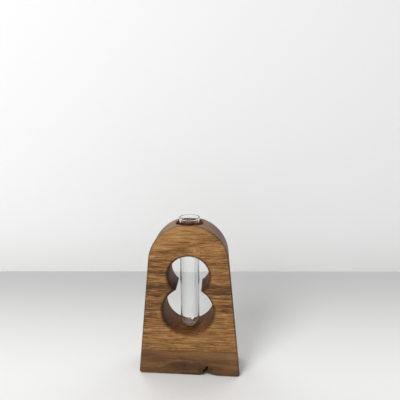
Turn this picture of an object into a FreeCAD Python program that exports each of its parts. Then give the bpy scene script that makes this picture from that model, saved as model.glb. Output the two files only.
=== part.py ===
"""Test tube vase: an arched wooden block on a darker base strip, and a glass tube standing in its bore.

Millimetres, +Z up. The origin is the middle of the footprint, on the surface that the vase stands on.
The front looks along -Y, and the figure-eight window runs through the block along Y.
"""
import FreeCAD, Part

import math
import os
from enum import IntEnum

import Sketcher

Vector = FreeCAD.Vector
FRONT_NORMAL = Vector(0, 0, 1)


class OwnGeometry(IntEnum):
    """What each sketch holds by itself: its origin and its upright axis."""

    HEIGHT_AXIS = -2
    ORIGIN = -1


class EdgePoint(IntEnum):
    """The points of an edge that a constraint can hold."""

    START = 1
    END = 2
    CENTRE = 3


HEIGHT_AXIS, ORIGIN = OwnGeometry
START, END, CENTRE = EdgePoint

# Driving sizes: name, value, what it is
SIZES = (
    ("base_width", "134", "width of the stand where it touches the table"),
    ("stand_height", "207", "height of the wooden stand"),
    ("stand_thickness", "40", "front face to rear face"),
    ("dome_radius", "50", "radius of the round top"),
    ("strip_height", "37", "height of the dark strip, up to the glue line"),
    ("edge_easing", "2.8", "radius rounded on the outer edges"),
    ("corner_easing", "3.4", "radius on the strip's lowest corners"),
    ("upper_hole_radius", "25.5", "upper circle of the window"),
    ("upper_hole_height", "140.5", "centre of the upper circle above the table"),
    ("lower_hole_radius", "31.75", "lower circle of the window"),
    ("lower_hole_height", "93", "centre of the lower circle above the table"),
    ("lower_hole_offset", "-1", "sideways place of the lower circle's centre"),
    ("window_easing", "4.5", "radius rolled onto both rims of the window"),
    ("bore_radius", "16.7", "bore from the top down into the window"),
    ("bore_easing", "0.4", "radius sanded on the bore's mouth"),
    ("seat_depth", "0.8", "depth of the tube's seat in the window's floor"),
    ("seat_gap", "0.3", "gap between the tube's round end and its seat"),
    ("tube_radius", "12.5", "outside radius of the glass tube"),
    ("tube_length", "151", "round end to lip"),
    ("tube_wall", "1.2", "glass thickness"),
    ("lip_proud", "0.3", "how far the lip stands outside the tube"),
    ("lip_height", "2.4", "height of the thickened lip"),
    ("void_offset", "23.6", "sideways place of the open void under the strip"),
    ("void_half_width", "8.2", "half the void's width"),
    ("void_height", "6.1", "height of the void at the front"),
    ("void_depth", "12", "how far the void goes in"),
    ("crack_offset", "22.6", "sideways place of the bark crack's middle"),
    ("crack_height", "9.4", "height of the bark crack's middle"),
    ("crack_half_length", "6.4", "half the crack's length"),
    ("crack_half_width", "2.1", "half the crack's width"),
    ("crack_depth", "8", "how far the crack goes in"),
    ("overrun", "2", "how far a cut runs on past the wood"),
)
# Angles in degrees
VOID_TILT = -9.0
CRACK_TILT = 24.0
# Two places closer than this share of the thickness are taken as one
NEAR_SHARE = 0.001


def make_sheet(doc):
    """Keeps the driving sizes in a sheet, each under its own name."""
    sheet = doc.addObject("Spreadsheet::Sheet", "sizes")
    for row, (name, value, note) in enumerate(SIZES, start=1):
        sheet.set(f"A{row}", name)
        sheet.set(f"B{row}", value)
        sheet.set(f"C{row}", note)
        sheet.setAlias(f"B{row}", name)
    doc.recompute()
    return sheet


def new_body(doc, name):
    """A sub-part, labelled as its file will be named."""
    body = doc.addObject("PartDesign::Body", name)
    body.Label = name
    return body


def new_sketch(body, name, role):
    """A sketch on one of the body's own origin planes."""
    sketch = body.newObject("Sketcher::SketchObject", name)
    plane = next(f for f in body.Origin.OriginFeatures if f.Role == role)
    sketch.AttachmentSupport = [(plane, "")]
    sketch.MapMode = "FlatFace"
    return sketch


def bind(sketch, constraint, name, expression):
    """Adds a constraint that takes its value from the sheet."""
    index = sketch.addConstraint(constraint)
    sketch.renameConstraint(index, name)
    sketch.setExpression(f"Constraints.{name}", expression)


def bind_point(sketch, geometry, end, name, across=None, up=None):
    """Holds a point of the sketch at places given by the sheet, across and up from the origin."""
    point = sketch.getPoint(geometry, end)
    if across is not None:
        held = Sketcher.Constraint("DistanceX", ORIGIN, START, geometry, end, point.x)
        bind(sketch, held, f"{name}_across", across)
    if up is not None:
        held = Sketcher.Constraint("DistanceY", ORIGIN, START, geometry, end, point.y)
        bind(sketch, held, f"{name}_up", up)


def bind_radius(sketch, edge, radius, name, expression):
    """Gives a round edge a radius that follows the sheet."""
    bind(sketch, Sketcher.Constraint("Radius", edge, radius), name, expression)


def join(sketch, first, first_end, second, second_end):
    """Joins a point of one edge to a point of another."""
    sketch.addConstraint(Sketcher.Constraint("Coincident", first, first_end, second, second_end))


def join_in_a_ring(sketch, edges):
    """Joins the end of each edge to the start of the next one."""
    for first, second in zip(edges, edges[1:] + edges[:1]):
        join(sketch, first, END, second, START)


def arc(centre, radius, start, end):
    """An arc of a circle, anticlockwise from start to end, in degrees."""
    circle = Part.Circle(centre, FRONT_NORMAL, radius)
    return Part.ArcOfCircle(circle, math.radians(start), math.radians(end))


def line(start, end):
    """A straight edge."""
    return Part.LineSegment(start, end)


def side_lean(size):
    """The angle in degrees at which the sides lean in: from the base's corners they touch the dome."""
    half = size.base_width / 2
    centre = size.stand_height - size.dome_radius
    to_centre = math.atan2(half, centre)
    to_touch = math.asin(size.dome_radius / math.hypot(half, centre))
    return math.degrees(to_centre - to_touch)


def side_at(size, height):
    """Half the stand's width at a height on its straight sides."""
    return size.base_width / 2 - height * math.tan(math.radians(side_lean(size)))


def edges_where(shape, chosen):
    """Names of the edges that pass a test of their points: the two ends and the middle."""
    names = []
    for number, edge in enumerate(shape.Edges, start=1):
        middle = edge.valueAt((edge.FirstParameter + edge.LastParameter) / 2)
        points = [vertex.Point for vertex in edge.Vertexes] + [middle]
        if chosen(points):
            names.append(f"Edge{number}")
    return names


def on_a_face(size, points):
    """True where all the points lie in the stand's front face, or all in its rear face."""
    half = size.stand_thickness / 2
    near = NEAR_SHARE * size.stand_thickness
    return all(abs(p.y - half) < near for p in points) or all(abs(p.y + half) < near for p in points)


def at_height(size, points, height):
    """True where all the points lie at one height."""
    near = NEAR_SHARE * size.stand_thickness
    return all(abs(p.z - height) < near for p in points)


def ease(body, base, name, edges, radius):
    """Rounds the named edges of a feature."""
    fillet = body.newObject("PartDesign::Fillet", name)
    fillet.Base = (base, edges)
    fillet.setExpression("Radius", radius)
    return fillet


def pad_both_ways(body, sketch):
    """Gives an outline the stand's thickness, half to the front and half to the rear."""
    pad = body.newObject("PartDesign::Pad", f"{body.Name}_board")
    pad.Profile = sketch
    pad.SideType = "Symmetric"
    pad.setExpression("Length", "sizes.stand_thickness")
    return pad


def arch_outline(body, size):
    """Front view of the block: the glue line, two leaning sides and the dome that they touch."""
    sketch = new_sketch(body, "arch_outline", "XZ_Plane")
    half_low = side_at(size, size.strip_height)
    lean = side_lean(size)
    centre = Vector(0, size.stand_height - size.dome_radius, 0)
    swing = Vector(math.cos(math.radians(lean)), math.sin(math.radians(lean)), 0) * size.dome_radius
    touch_right = centre + swing
    touch_left = centre + Vector(-swing.x, swing.y, 0)
    low_left = Vector(-half_low, size.strip_height, 0)
    low_right = Vector(half_low, size.strip_height, 0)
    glue = sketch.addGeometry(line(low_left, low_right))
    right = sketch.addGeometry(line(low_right, touch_right))
    dome = sketch.addGeometry(arc(centre, size.dome_radius, lean, 180 - lean))
    left = sketch.addGeometry(line(touch_left, low_left))
    foot_left = sketch.addGeometry(Part.Point(Vector(-size.base_width / 2, 0, 0)), True)
    foot_right = sketch.addGeometry(Part.Point(Vector(size.base_width / 2, 0, 0)), True)
    bind_point(sketch, foot_left, START, "foot_left", "-sizes.base_width / 2", "0")
    bind_point(sketch, foot_right, START, "foot_right", "sizes.base_width / 2", "0")
    sketch.addConstraint(Sketcher.Constraint("PointOnObject", foot_left, START, left))
    sketch.addConstraint(Sketcher.Constraint("PointOnObject", foot_right, START, right))
    join(sketch, glue, END, right, START)
    join(sketch, left, END, glue, START)
    sketch.addConstraint(Sketcher.Constraint("Tangent", right, END, dome, START))
    sketch.addConstraint(Sketcher.Constraint("Tangent", dome, END, left, START))
    sketch.addConstraint(Sketcher.Constraint("Horizontal", glue))
    sketch.addConstraint(Sketcher.Constraint("PointOnObject", dome, CENTRE, HEIGHT_AXIS))
    bind_point(sketch, glue, START, "glue_line", up="sizes.strip_height")
    bind_point(sketch, dome, CENTRE, "dome", up="sizes.stand_height - sizes.dome_radius")
    bind_radius(sketch, dome, size.dome_radius, "dome_radius", "sizes.dome_radius")
    return sketch


def window_circle(body, size, which, offset_name=None):
    """Cuts the upper or lower circle of the window, turned about an axis along Y.

    The turned profile is the hole's wall with a quarter round rolled onto it at each face,
    so where the two circles meet, wall and rims run into one mitred point.
    """
    radius_name = f"{which}_hole_radius"
    height_name = f"{which}_hole_height"
    radius = getattr(size, radius_name)
    height = getattr(size, height_name)
    half = size.stand_thickness / 2
    roll = size.window_easing
    past = half + size.overrun
    outside = height + radius + roll
    sketch = new_sketch(body, f"{which}_circle_profile", "YZ_Plane")
    if offset_name:
        sketch.setExpression("AttachmentOffset.Base.z", f"sizes.{offset_name}")
    axis = sketch.addGeometry(line(Vector(-past, height, 0), Vector(past, height, 0)))
    rear_end = sketch.addGeometry(line(Vector(past, height, 0), Vector(past, outside, 0)))
    rear_step = sketch.addGeometry(line(Vector(past, outside, 0), Vector(half, outside, 0)))
    rear_roll = sketch.addGeometry(arc(Vector(half - roll, outside, 0), roll, 270, 360))
    wall = sketch.addGeometry(line(Vector(half - roll, height + radius, 0),
                                   Vector(roll - half, height + radius, 0)))
    front_roll = sketch.addGeometry(arc(Vector(roll - half, outside, 0), roll, 180, 270))
    front_step = sketch.addGeometry(line(Vector(-half, outside, 0), Vector(-past, outside, 0)))
    front_end = sketch.addGeometry(line(Vector(-past, outside, 0), Vector(-past, height, 0)))
    joins = ((axis, END, rear_end, START), (rear_end, END, rear_step, START),
             (rear_step, END, rear_roll, END), (front_roll, START, front_step, START),
             (front_step, END, front_end, START), (front_end, END, axis, START))
    for joined in joins:
        join(sketch, *joined)
    sketch.addConstraint(Sketcher.Constraint("Tangent", rear_roll, START, wall, START))
    sketch.addConstraint(Sketcher.Constraint("Tangent", wall, END, front_roll, END))
    for level in (axis, rear_step, wall, front_step):
        sketch.addConstraint(Sketcher.Constraint("Horizontal", level))
    for upright in (rear_end, front_end):
        sketch.addConstraint(Sketcher.Constraint("Vertical", upright))
    far = "sizes.stand_thickness / 2 + sizes.overrun"
    rim_depth = "sizes.stand_thickness / 2 - sizes.window_easing"
    rim = f"sizes.{height_name} + sizes.{radius_name} + sizes.window_easing"
    bind_point(sketch, axis, START, "axis_front", f"-({far})", f"sizes.{height_name}")
    bind_point(sketch, axis, END, "axis_rear", far)
    bind_point(sketch, rear_roll, CENTRE, "rear_rim", rim_depth, rim)
    bind_point(sketch, front_roll, CENTRE, "front_rim", f"-({rim_depth})", rim)
    bind_point(sketch, rear_step, END, "rear_face", up=rim)
    bind_point(sketch, front_step, START, "front_face", up=rim)
    bind_radius(sketch, rear_roll, roll, "rim_radius", "sizes.window_easing")
    groove = body.newObject("PartDesign::Groove", f"{which}_circle")
    groove.Profile = sketch
    groove.ReferenceAxis = (sketch, [f"Edge{axis + 1}"])
    groove.Angle = 360
    return groove


def tube_bottom():
    """The height of the tube's round end: its seat's floor and the gap over it."""
    return "sizes.lower_hole_height - sizes.lower_hole_radius - sizes.seat_depth + sizes.seat_gap"


def bore(body, size):
    """Bores from the middle of the window's upper circle up through the dome."""
    sketch = new_sketch(body, "bore_circle", "XY_Plane")
    sketch.setExpression("AttachmentOffset.Base.z", "sizes.upper_hole_height")
    circle = sketch.addGeometry(Part.Circle(Vector(0, 0, 0), FRONT_NORMAL, size.bore_radius))
    join(sketch, circle, CENTRE, ORIGIN, START)
    bind_radius(sketch, circle, size.bore_radius, "bore_radius", "sizes.bore_radius")
    pocket = body.newObject("PartDesign::Pocket", "bore")
    pocket.Profile = sketch
    pocket.Type = "ThroughAll"
    pocket.Reversed = True
    return pocket


def on_bore_mouth(size, points):
    """True where all the points lie on the bore's wall, above the window."""
    near = NEAR_SHARE * size.stand_thickness
    ceiling = size.upper_hole_height + size.upper_hole_radius
    on_wall = all(abs(math.hypot(p.x, p.y) - size.bore_radius) < near for p in points)
    return on_wall and all(p.z > ceiling + near for p in points)


def seat(body, size):
    """Sinks a shallow round seat into the window's floor, under the tube's round end."""
    sketch = new_sketch(body, "seat_profile", "XZ_Plane")
    radius = size.tube_radius + size.seat_gap
    floor = size.lower_hole_height - size.lower_hole_radius - size.seat_depth
    centre = Vector(0, floor + radius, 0)
    bowl = sketch.addGeometry(arc(centre, radius, 270, 360))
    top = sketch.addGeometry(line(centre + Vector(radius, 0, 0), centre))
    axis = sketch.addGeometry(line(centre, Vector(0, floor, 0)))
    join_in_a_ring(sketch, [bowl, top, axis])
    join(sketch, bowl, CENTRE, axis, START)
    sketch.addConstraint(Sketcher.Constraint("PointOnObject", axis, END, HEIGHT_AXIS))
    sketch.addConstraint(Sketcher.Constraint("Vertical", axis))
    sketch.addConstraint(Sketcher.Constraint("Horizontal", top))
    bind_point(sketch, axis, START, "ball", up=f"{tube_bottom()} + sizes.tube_radius")
    bind_radius(sketch, bowl, radius, "ball_radius", "sizes.tube_radius + sizes.seat_gap")
    groove = body.newObject("PartDesign::Groove", "seat")
    groove.Profile = sketch
    groove.ReferenceAxis = (sketch, ["V_Axis"])
    groove.Angle = 360
    return groove


def make_arch_block(doc, size):
    """The light wooden block: outline, eased edges, window, bore and seat."""
    body = new_body(doc, "arch_block")
    board = pad_both_ways(body, arch_outline(body, size))
    doc.recompute()
    glue = size.strip_height
    outer = edges_where(board.Shape, lambda p: on_a_face(size, p) and not at_height(size, p, glue))
    ease(body, board, "outer_easing", outer, "sizes.edge_easing")
    window_circle(body, size, "upper")
    window_circle(body, size, "lower", "lower_hole_offset")
    drilled = bore(body, size)
    doc.recompute()
    mouth = edges_where(drilled.Shape, lambda p: on_bore_mouth(size, p))
    ease(body, drilled, "bore_easing", mouth, "sizes.bore_easing")
    body.Tip = seat(body, size)
    return body


def strip_outline(body, size):
    """Front view of the strip. Its sides, carried on, touch the dome above."""
    sketch = new_sketch(body, "strip_outline", "XZ_Plane")
    half_low = size.base_width / 2
    half_high = side_at(size, size.strip_height)
    corners = [Vector(-half_low, 0, 0), Vector(half_low, 0, 0),
               Vector(half_high, size.strip_height, 0), Vector(-half_high, size.strip_height, 0)]
    edges = [sketch.addGeometry(line(a, b)) for a, b in zip(corners, corners[1:] + corners[:1])]
    bottom, right, glue, left = edges
    centre = Vector(0, size.stand_height - size.dome_radius, 0)
    dome = sketch.addGeometry(Part.Circle(centre, FRONT_NORMAL, size.dome_radius), True)
    join_in_a_ring(sketch, edges)
    sketch.addConstraint(Sketcher.Constraint("Horizontal", bottom))
    sketch.addConstraint(Sketcher.Constraint("Horizontal", glue))
    sketch.addConstraint(Sketcher.Constraint("Tangent", right, dome))
    sketch.addConstraint(Sketcher.Constraint("Tangent", left, dome))
    sketch.addConstraint(Sketcher.Constraint("PointOnObject", dome, CENTRE, HEIGHT_AXIS))
    bind_point(sketch, dome, CENTRE, "dome", up="sizes.stand_height - sizes.dome_radius")
    bind_radius(sketch, dome, size.dome_radius, "dome_radius", "sizes.dome_radius")
    bind_point(sketch, bottom, START, "foot_left", "-sizes.base_width / 2", "0")
    bind_point(sketch, bottom, END, "foot_right", "sizes.base_width / 2")
    bind_point(sketch, glue, START, "glue_line", up="sizes.strip_height")
    return sketch


def natural_void(body, name, radii, place, tilt):
    """Takes an egg-shaped void out of the strip's front face.

    radii are the expressions for its half height, half width and depth, and place those for its
    sideways place and its height. tilt leans its top towards the right, in degrees.
    """
    void = body.newObject("PartDesign::SubtractiveEllipsoid", name)
    up, across, deep = radii
    void.setExpression("Radius1", up)
    void.setExpression("Radius2", across)
    void.setExpression("Radius3", deep)
    void.Placement = FreeCAD.Placement(Vector(0, 0, 0), FreeCAD.Rotation(Vector(0, 1, 0), tilt))
    offset, height = place
    void.setExpression("Placement.Base.x", offset)
    void.setExpression("Placement.Base.y", "-sizes.stand_thickness / 2")
    void.setExpression("Placement.Base.z", height)
    return void


def make_base_strip(doc, size):
    """The dark strip under the block, with the void that the timber's edge left in it."""
    body = new_body(doc, "base_strip")
    board = pad_both_ways(body, strip_outline(body, size))
    doc.recompute()
    ends = edges_where(board.Shape, lambda p: at_height(size, p, 0) and not on_a_face(size, p))
    rounded = ease(body, board, "corner_easing", ends, "sizes.corner_easing")
    doc.recompute()
    glue = size.strip_height
    outer = edges_where(rounded.Shape, lambda p: on_a_face(size, p) and not at_height(size, p, glue))
    ease(body, rounded, "outer_easing", outer, "sizes.edge_easing")
    void_radii = ("sizes.void_height", "sizes.void_half_width", "sizes.void_depth")
    natural_void(body, "open_void", void_radii, ("sizes.void_offset", "0"), VOID_TILT)
    crack_radii = ("sizes.crack_half_length", "sizes.crack_half_width", "sizes.crack_depth")
    crack_place = ("sizes.crack_offset", "sizes.crack_height")
    body.Tip = natural_void(body, "bark_crack", crack_radii, crack_place, CRACK_TILT)
    return body


def tube_profile(body, size):
    """Half section of the tube: round end, straight wall and a lip rounded in the flame."""
    sketch = new_sketch(body, "tube_profile", "XZ_Plane")
    outer = size.tube_radius
    inner = outer - size.tube_wall
    bead = (size.tube_wall + size.lip_proud) / 2
    neck = size.tube_length - size.lip_height
    bead_height = size.tube_length - bead
    ball = Vector(0, outer, 0)
    end_outside = sketch.addGeometry(arc(ball, outer, 270, 360))
    wall_outside = sketch.addGeometry(line(Vector(outer, outer, 0), Vector(outer, neck, 0)))
    lip_foot = Vector(outer + size.lip_proud, bead_height, 0)
    flare = sketch.addGeometry(line(Vector(outer, neck, 0), lip_foot))
    lip = sketch.addGeometry(arc(Vector(inner + bead, bead_height, 0), bead, 0, 180))
    wall_inside = sketch.addGeometry(line(Vector(inner, bead_height, 0), Vector(inner, outer, 0)))
    end_inside = sketch.addGeometry(arc(ball, inner, 270, 360))
    axis = sketch.addGeometry(line(Vector(0, outer - inner, 0), Vector(0, 0, 0)))
    joins = ((flare, END, lip, START), (wall_outside, END, flare, START),
             (end_inside, START, axis, START), (axis, END, end_outside, START),
             (lip, END, wall_inside, START), (end_inside, CENTRE, end_outside, CENTRE),
             (axis, END, ORIGIN, START))
    for joined in joins:
        join(sketch, *joined)
    sketch.addConstraint(Sketcher.Constraint("Tangent", end_outside, END, wall_outside, START))
    sketch.addConstraint(Sketcher.Constraint("Tangent", wall_inside, END, end_inside, END))
    sketch.addConstraint(Sketcher.Constraint("PointOnObject", end_outside, CENTRE, HEIGHT_AXIS))
    sketch.addConstraint(Sketcher.Constraint("Vertical", axis))
    bore_across = "sizes.tube_radius - sizes.tube_wall"
    bead_radius = "(sizes.tube_wall + sizes.lip_proud) / 2"
    bead_up = f"sizes.tube_length - {bead_radius}"
    bind_radius(sketch, end_outside, outer, "outside", "sizes.tube_radius")
    bind_radius(sketch, end_inside, inner, "inside", bore_across)
    bind_radius(sketch, lip, bead, "bead", bead_radius)
    bind_point(sketch, wall_outside, END, "neck", up="sizes.tube_length - sizes.lip_height")
    bind_point(sketch, lip, CENTRE, "lip", f"{bore_across} + {bead_radius}", bead_up)
    bind_point(sketch, lip, START, "lip_outside", up=bead_up)
    bind_point(sketch, lip, END, "lip_inside", up=bead_up)
    return sketch


def make_test_tube(doc, size):
    """The glass tube, turned from its half section and stood over its seat."""
    body = new_body(doc, "test_tube")
    turned = body.newObject("PartDesign::Revolution", "turned_tube")
    turned.Profile = tube_profile(body, size)
    turned.ReferenceAxis = (turned.Profile[0], ["V_Axis"])
    turned.Angle = 360
    body.Tip = turned
    body.setExpression("Placement.Base.z", tube_bottom())
    return body


def check(doc, bodies):
    """Stops unless every feature worked and every sub-part is one sound solid."""
    for item in doc.Objects:
        bad = [state for state in item.State if state in ("Invalid", "Error")]
        if bad:
            raise RuntimeError(f"{item.Label} failed: {item.State}")
    for body in bodies:
        shape = body.Shape
        if shape.isNull() or not shape.isValid() or len(shape.Solids) != 1:
            raise RuntimeError(f"{body.Label} is not one sound solid")


def main():
    """Builds the vase and writes each sub-part to its own file."""
    doc = FreeCAD.newDocument("test_tube_vase")
    size = make_sheet(doc)
    bodies = [make_arch_block(doc, size), make_base_strip(doc, size), make_test_tube(doc, size)]
    doc.recompute()
    check(doc, bodies)
    os.makedirs("parts", exist_ok=True)
    for body in bodies:
        body.Shape.exportStep(f"parts/{body.Label}.step")
        box = body.Shape.optimalBoundingBox()
        extents = (box.XMin, box.XMax, box.YMin, box.YMax, box.ZMin, box.ZMax)
        print(body.Label, round(body.Shape.Volume), "mm3", [round(value, 2) for value in extents])
    print("OK")


main()
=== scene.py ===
"""The looks of a test tube vase: an arched oak block on a walnut strip, and the glass tube that stands in it.

The vase's sizes are millimetres, as a joiner would note them, and its points become metres when a mesh is
made. The studio's sizes are metres. +Z is up, the front looks along -Y, and the origin is the middle of the
footprint.
"""

import logging
import math
from dataclasses import dataclass, field
from enum import Enum

import bmesh
import bpy
import numpy as np
from mathutils import Matrix, Vector
from numpy.typing import NDArray


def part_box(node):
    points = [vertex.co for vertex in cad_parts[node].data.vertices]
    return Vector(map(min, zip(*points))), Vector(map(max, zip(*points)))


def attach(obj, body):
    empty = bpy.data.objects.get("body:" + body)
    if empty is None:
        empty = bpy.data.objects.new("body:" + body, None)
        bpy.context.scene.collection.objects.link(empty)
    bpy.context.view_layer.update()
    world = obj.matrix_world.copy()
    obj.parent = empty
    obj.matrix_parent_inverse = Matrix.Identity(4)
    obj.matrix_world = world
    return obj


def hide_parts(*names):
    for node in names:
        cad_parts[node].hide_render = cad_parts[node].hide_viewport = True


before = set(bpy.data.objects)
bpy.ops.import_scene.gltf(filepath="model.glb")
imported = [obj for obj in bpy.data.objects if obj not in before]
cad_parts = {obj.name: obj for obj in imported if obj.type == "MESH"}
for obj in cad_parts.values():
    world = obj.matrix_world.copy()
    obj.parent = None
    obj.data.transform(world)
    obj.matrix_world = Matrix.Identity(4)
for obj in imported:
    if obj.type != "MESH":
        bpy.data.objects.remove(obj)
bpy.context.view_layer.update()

Array = NDArray[np.float64]
Colour = tuple[float, float, float]
Triple = tuple[float, float, float]
Socket = bpy.types.NodeSocket

METRES_PER_MM = 0.001
MM_PER_METRE = 1000.0
QUARTER_TURN = math.pi / 2
FULL_TURN = 2 * math.pi
log = logging.getLogger("vase")


class Body(Enum):
    """The parts of the vase that move by themselves."""

    STAND = "stand"
    TUBE = "tube"


class Slot(Enum):
    """The finishes that the vase's record names."""

    LIGHT_WOOD = "light_wood"
    DARK_WOOD = "dark_wood"
    CLEAR_GLASS = "clear_glass"


class Tone(Enum):
    """What a single streak does to the wood's colour; a few dark and pale streaks are painted shade and a
    painted highlight.
    """

    DARK = "dark"
    RED = "red"
    PALE = "pale"
    FLAME = "flame"


DARK, RED, PALE, FLAME = Tone


@dataclass
class Patch:
    """A sheet of surface points in rows and columns, in millimetres.

    Args:
        points: Rows by columns by three.
        traits: Values for the finish to read, each rows by columns.
        closed_rows: True where the last row joins the first.
        closed_columns: True where the last column joins the first.
        open_blocks: Row and column ranges where the sheet has no faces.
    """

    points: Array
    traits: dict[str, Array] = field(default_factory=dict)
    closed_rows: bool = False
    closed_columns: bool = False
    open_blocks: tuple[tuple[slice, slice], ...] = ()

    def quads(self) -> NDArray[np.int64]:
        """Corner numbers of the faces: each point with its next in the row and in the column.

        Returns:
            An array of faces by four.
        """
        rows, columns = self.points.shape[:2]
        number = np.arange(rows * columns).reshape(rows, columns)
        if self.closed_rows:
            number = np.concatenate([number, number[:1]], axis=0)
        if self.closed_columns:
            number = np.concatenate([number, number[:, :1]], axis=1)
        faces = np.stack([number[:-1, :-1], number[:-1, 1:], number[1:, 1:], number[1:, :-1]], axis=-1)
        kept = np.ones(faces.shape[:2], dtype=bool)
        for row_range, column_range in self.open_blocks:
            kept[row_range, column_range] = False
        return faces[kept]


def quarter_round(radius: float, steps: int) -> tuple[Array, Array]:
    """Samples a quarter round from a face to the side that it turns into.

    With an angle from 0 to 90 degrees, the distance in from the side is radius times one minus the sine,
    and the depth behind the face is radius times one minus the cosine.

    Args:
        radius: Radius of the round.
        steps: How many steps it takes.

    Returns:
        Distances in from the side and depths behind the face, without the last sample.
    """
    angle = np.arange(steps) / steps * QUARTER_TURN
    return radius * (1 - np.sin(angle)), radius * (1 - np.cos(angle))


def through(knots: Array, steps: tuple[int, ...]) -> Array:
    """Runs evenly from each knot to the next.

    Args:
        knots: Values with the knots along the second axis; more axes may follow.
        steps: How many steps each stretch takes.

    Returns:
        The samples along the second axis, without the last knot.
    """
    stretches = []
    for index, count in enumerate(steps):
        share = (np.arange(count) / count).reshape((1, count) + (1,) * (knots.ndim - 2))
        stretches.append(knots[:, index, None] * (1 - share) + knots[:, index + 1, None] * share)
    return np.concatenate(stretches, axis=1)


def on_circle(centre: Array, radius: Array, angle: Array) -> Array:
    """Points of each row's circle: its centre, and its radius times the cosine and the sine of the angles."""
    reach = np.stack([np.cos(angle), np.sin(angle)], axis=-1)
    return centre + radius[:, None, None] * reach


def ripple(across: Array, up: Array, wave: float) -> Array:
    """An uneven surface from -1 to 1: the sum of three sine waves over the sum of their heights.

    The first runs across and is bent by one that runs up, the second runs up and is bent by one that runs
    across, and the third runs aslant. None of their lengths is a multiple of another.

    Args:
        across: Places along one way.
        up: Places along the other.
        wave: The longest wave.

    Returns:
        One value for each place.
    """
    turn = FULL_TURN / wave
    heights = (1.0, 0.6, 0.4)
    runs = (across, 1.9 * up, 3.1 * (across - up))
    bends = (1.3 * np.sin(0.7 * turn * up), -1.1 * np.sin(1.3 * turn * across + 0.8), 2.1)
    waves = [height * np.sin(turn * run + bend) for height, run, bend in zip(heights, runs, bends)]
    return sum(waves) / sum(heights)


def smooth_step(value: Array, low: float, high: float) -> Array:
    """Rises smoothly from 0 at low to 1 at high: three times the square of the share, less twice its cube."""
    share = np.clip((value - low) / (high - low), 0, 1)
    return share * share * (3 - 2 * share)


def make_piece(name: str, patches: list[Patch], crease: float) -> bpy.types.Object:
    """Welds patches into one closed mesh, faces outward, smooth but for its creases.

    Args:
        name: The piece's name.
        patches: Sheets whose borders meet point by point.
        crease: Angle in degrees past which an edge stays sharp.

    Returns:
        The new object, at the origin, with its place in its mesh.
    """
    weld_distance = 1e-6
    counts = np.cumsum([0] + [patch.points.shape[0] * patch.points.shape[1] for patch in patches])
    points = np.concatenate([patch.points.reshape(-1, 3) for patch in patches]) * METRES_PER_MM
    quads = np.concatenate([patch.quads() + first for patch, first in zip(patches, counts)])
    mesh = bpy.data.meshes.new(name)
    mesh.vertices.add(len(points))
    mesh.vertices.foreach_set("co", points.ravel())
    mesh.loops.add(quads.size)
    mesh.loops.foreach_set("vertex_index", quads.ravel())
    mesh.polygons.add(len(quads))
    mesh.polygons.foreach_set("loop_start", np.arange(len(quads)) * 4)
    mesh.update(calc_edges=True)
    for trait in patches[0].traits:
        values = np.concatenate([patch.traits[trait].ravel() for patch in patches])
        mesh.attributes.new(trait, "FLOAT", "POINT").data.foreach_set("value", values)
    shell = bmesh.new()
    shell.from_mesh(mesh)
    bmesh.ops.remove_doubles(shell, verts=shell.verts, dist=weld_distance)
    bmesh.ops.recalc_face_normals(shell, faces=shell.faces)
    for edge in shell.edges:
        edge.smooth = edge.calc_face_angle(0) < math.radians(crease)
    for face in shell.faces:
        face.smooth = True
    shell.to_mesh(mesh)
    shell.free()
    piece = bpy.data.objects.new(name, mesh)
    bpy.context.scene.collection.objects.link(piece)
    return piece


def note_end_grain(piece: bpy.types.Object) -> None:
    """Stores how far each point of a wooden piece faces along the grain: the size of its normal's X part.

    Args:
        piece: A piece whose mesh is final.
    """
    mesh = piece.data
    normals = np.zeros(len(mesh.vertices) * 3)
    mesh.vertex_normals.foreach_get("vector", normals)
    facing = np.abs(normals.reshape(-1, 3)[:, 0])
    mesh.attributes.new("end_grain", "FLOAT", "POINT").data.foreach_set("value", facing)


def seat_in_frame(piece: bpy.types.Object, node: str, body: Body, slot: Slot) -> None:
    """Lets a piece stand for a node of the frame and ride on its body.

    Args:
        piece: The finished piece.
        node: The node that it stands for.
        body: The body that carries it.
        slot: The finish that the record gives it; not used.
    """
    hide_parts(node)
    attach(piece, body.value)
    log.info("%s: %d faces, on %s", piece.name, len(piece.data.polygons), body.value)


@dataclass(frozen=True)
class StandShape:
    """The outline that block and strip share: two leaning sides that touch a round dome.

    Args:
        base_width: Width on the table.
        height: Height of the dome's top.
        thickness: Front face to rear face.
        dome_radius: Radius of the round top.
        glue_height: Height of the line where block and strip meet.
        easing: Radius rounded on the outer edges.
    """

    base_width: float = 134.0
    height: float = 207.0
    thickness: float = 40.0
    dome_radius: float = 50.0
    glue_height: float = 37.0
    easing: float = 2.8

    @classmethod
    def from_frame(cls) -> "StandShape":
        """Takes height, thickness and the glue line from the frame's boxes."""
        low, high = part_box("arch_block")
        return cls(height=high.z * MM_PER_METRE, thickness=(high.y - low.y) * MM_PER_METRE,
                   glue_height=low.z * MM_PER_METRE)

    @property
    def half(self) -> float:
        """Half the thickness."""
        return self.thickness / 2

    @property
    def dome_centre(self) -> Array:
        """Centre of the dome, as across and up."""
        return np.array([0.0, self.height - self.dome_radius])

    @property
    def lean(self) -> float:
        """Angle at which a side leans in: from the base's corner it touches the dome."""
        half_base, centre = self.base_width / 2, self.height - self.dome_radius
        return math.atan2(half_base, centre) - math.asin(self.dome_radius / math.hypot(half_base, centre))

    def side_at(self, height: float, inset: Array) -> Array:
        """Half the width at a height above the table, with the side moved in, square to itself."""
        return self.base_width / 2 - height * math.tan(self.lean) - inset / math.cos(self.lean)


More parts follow.
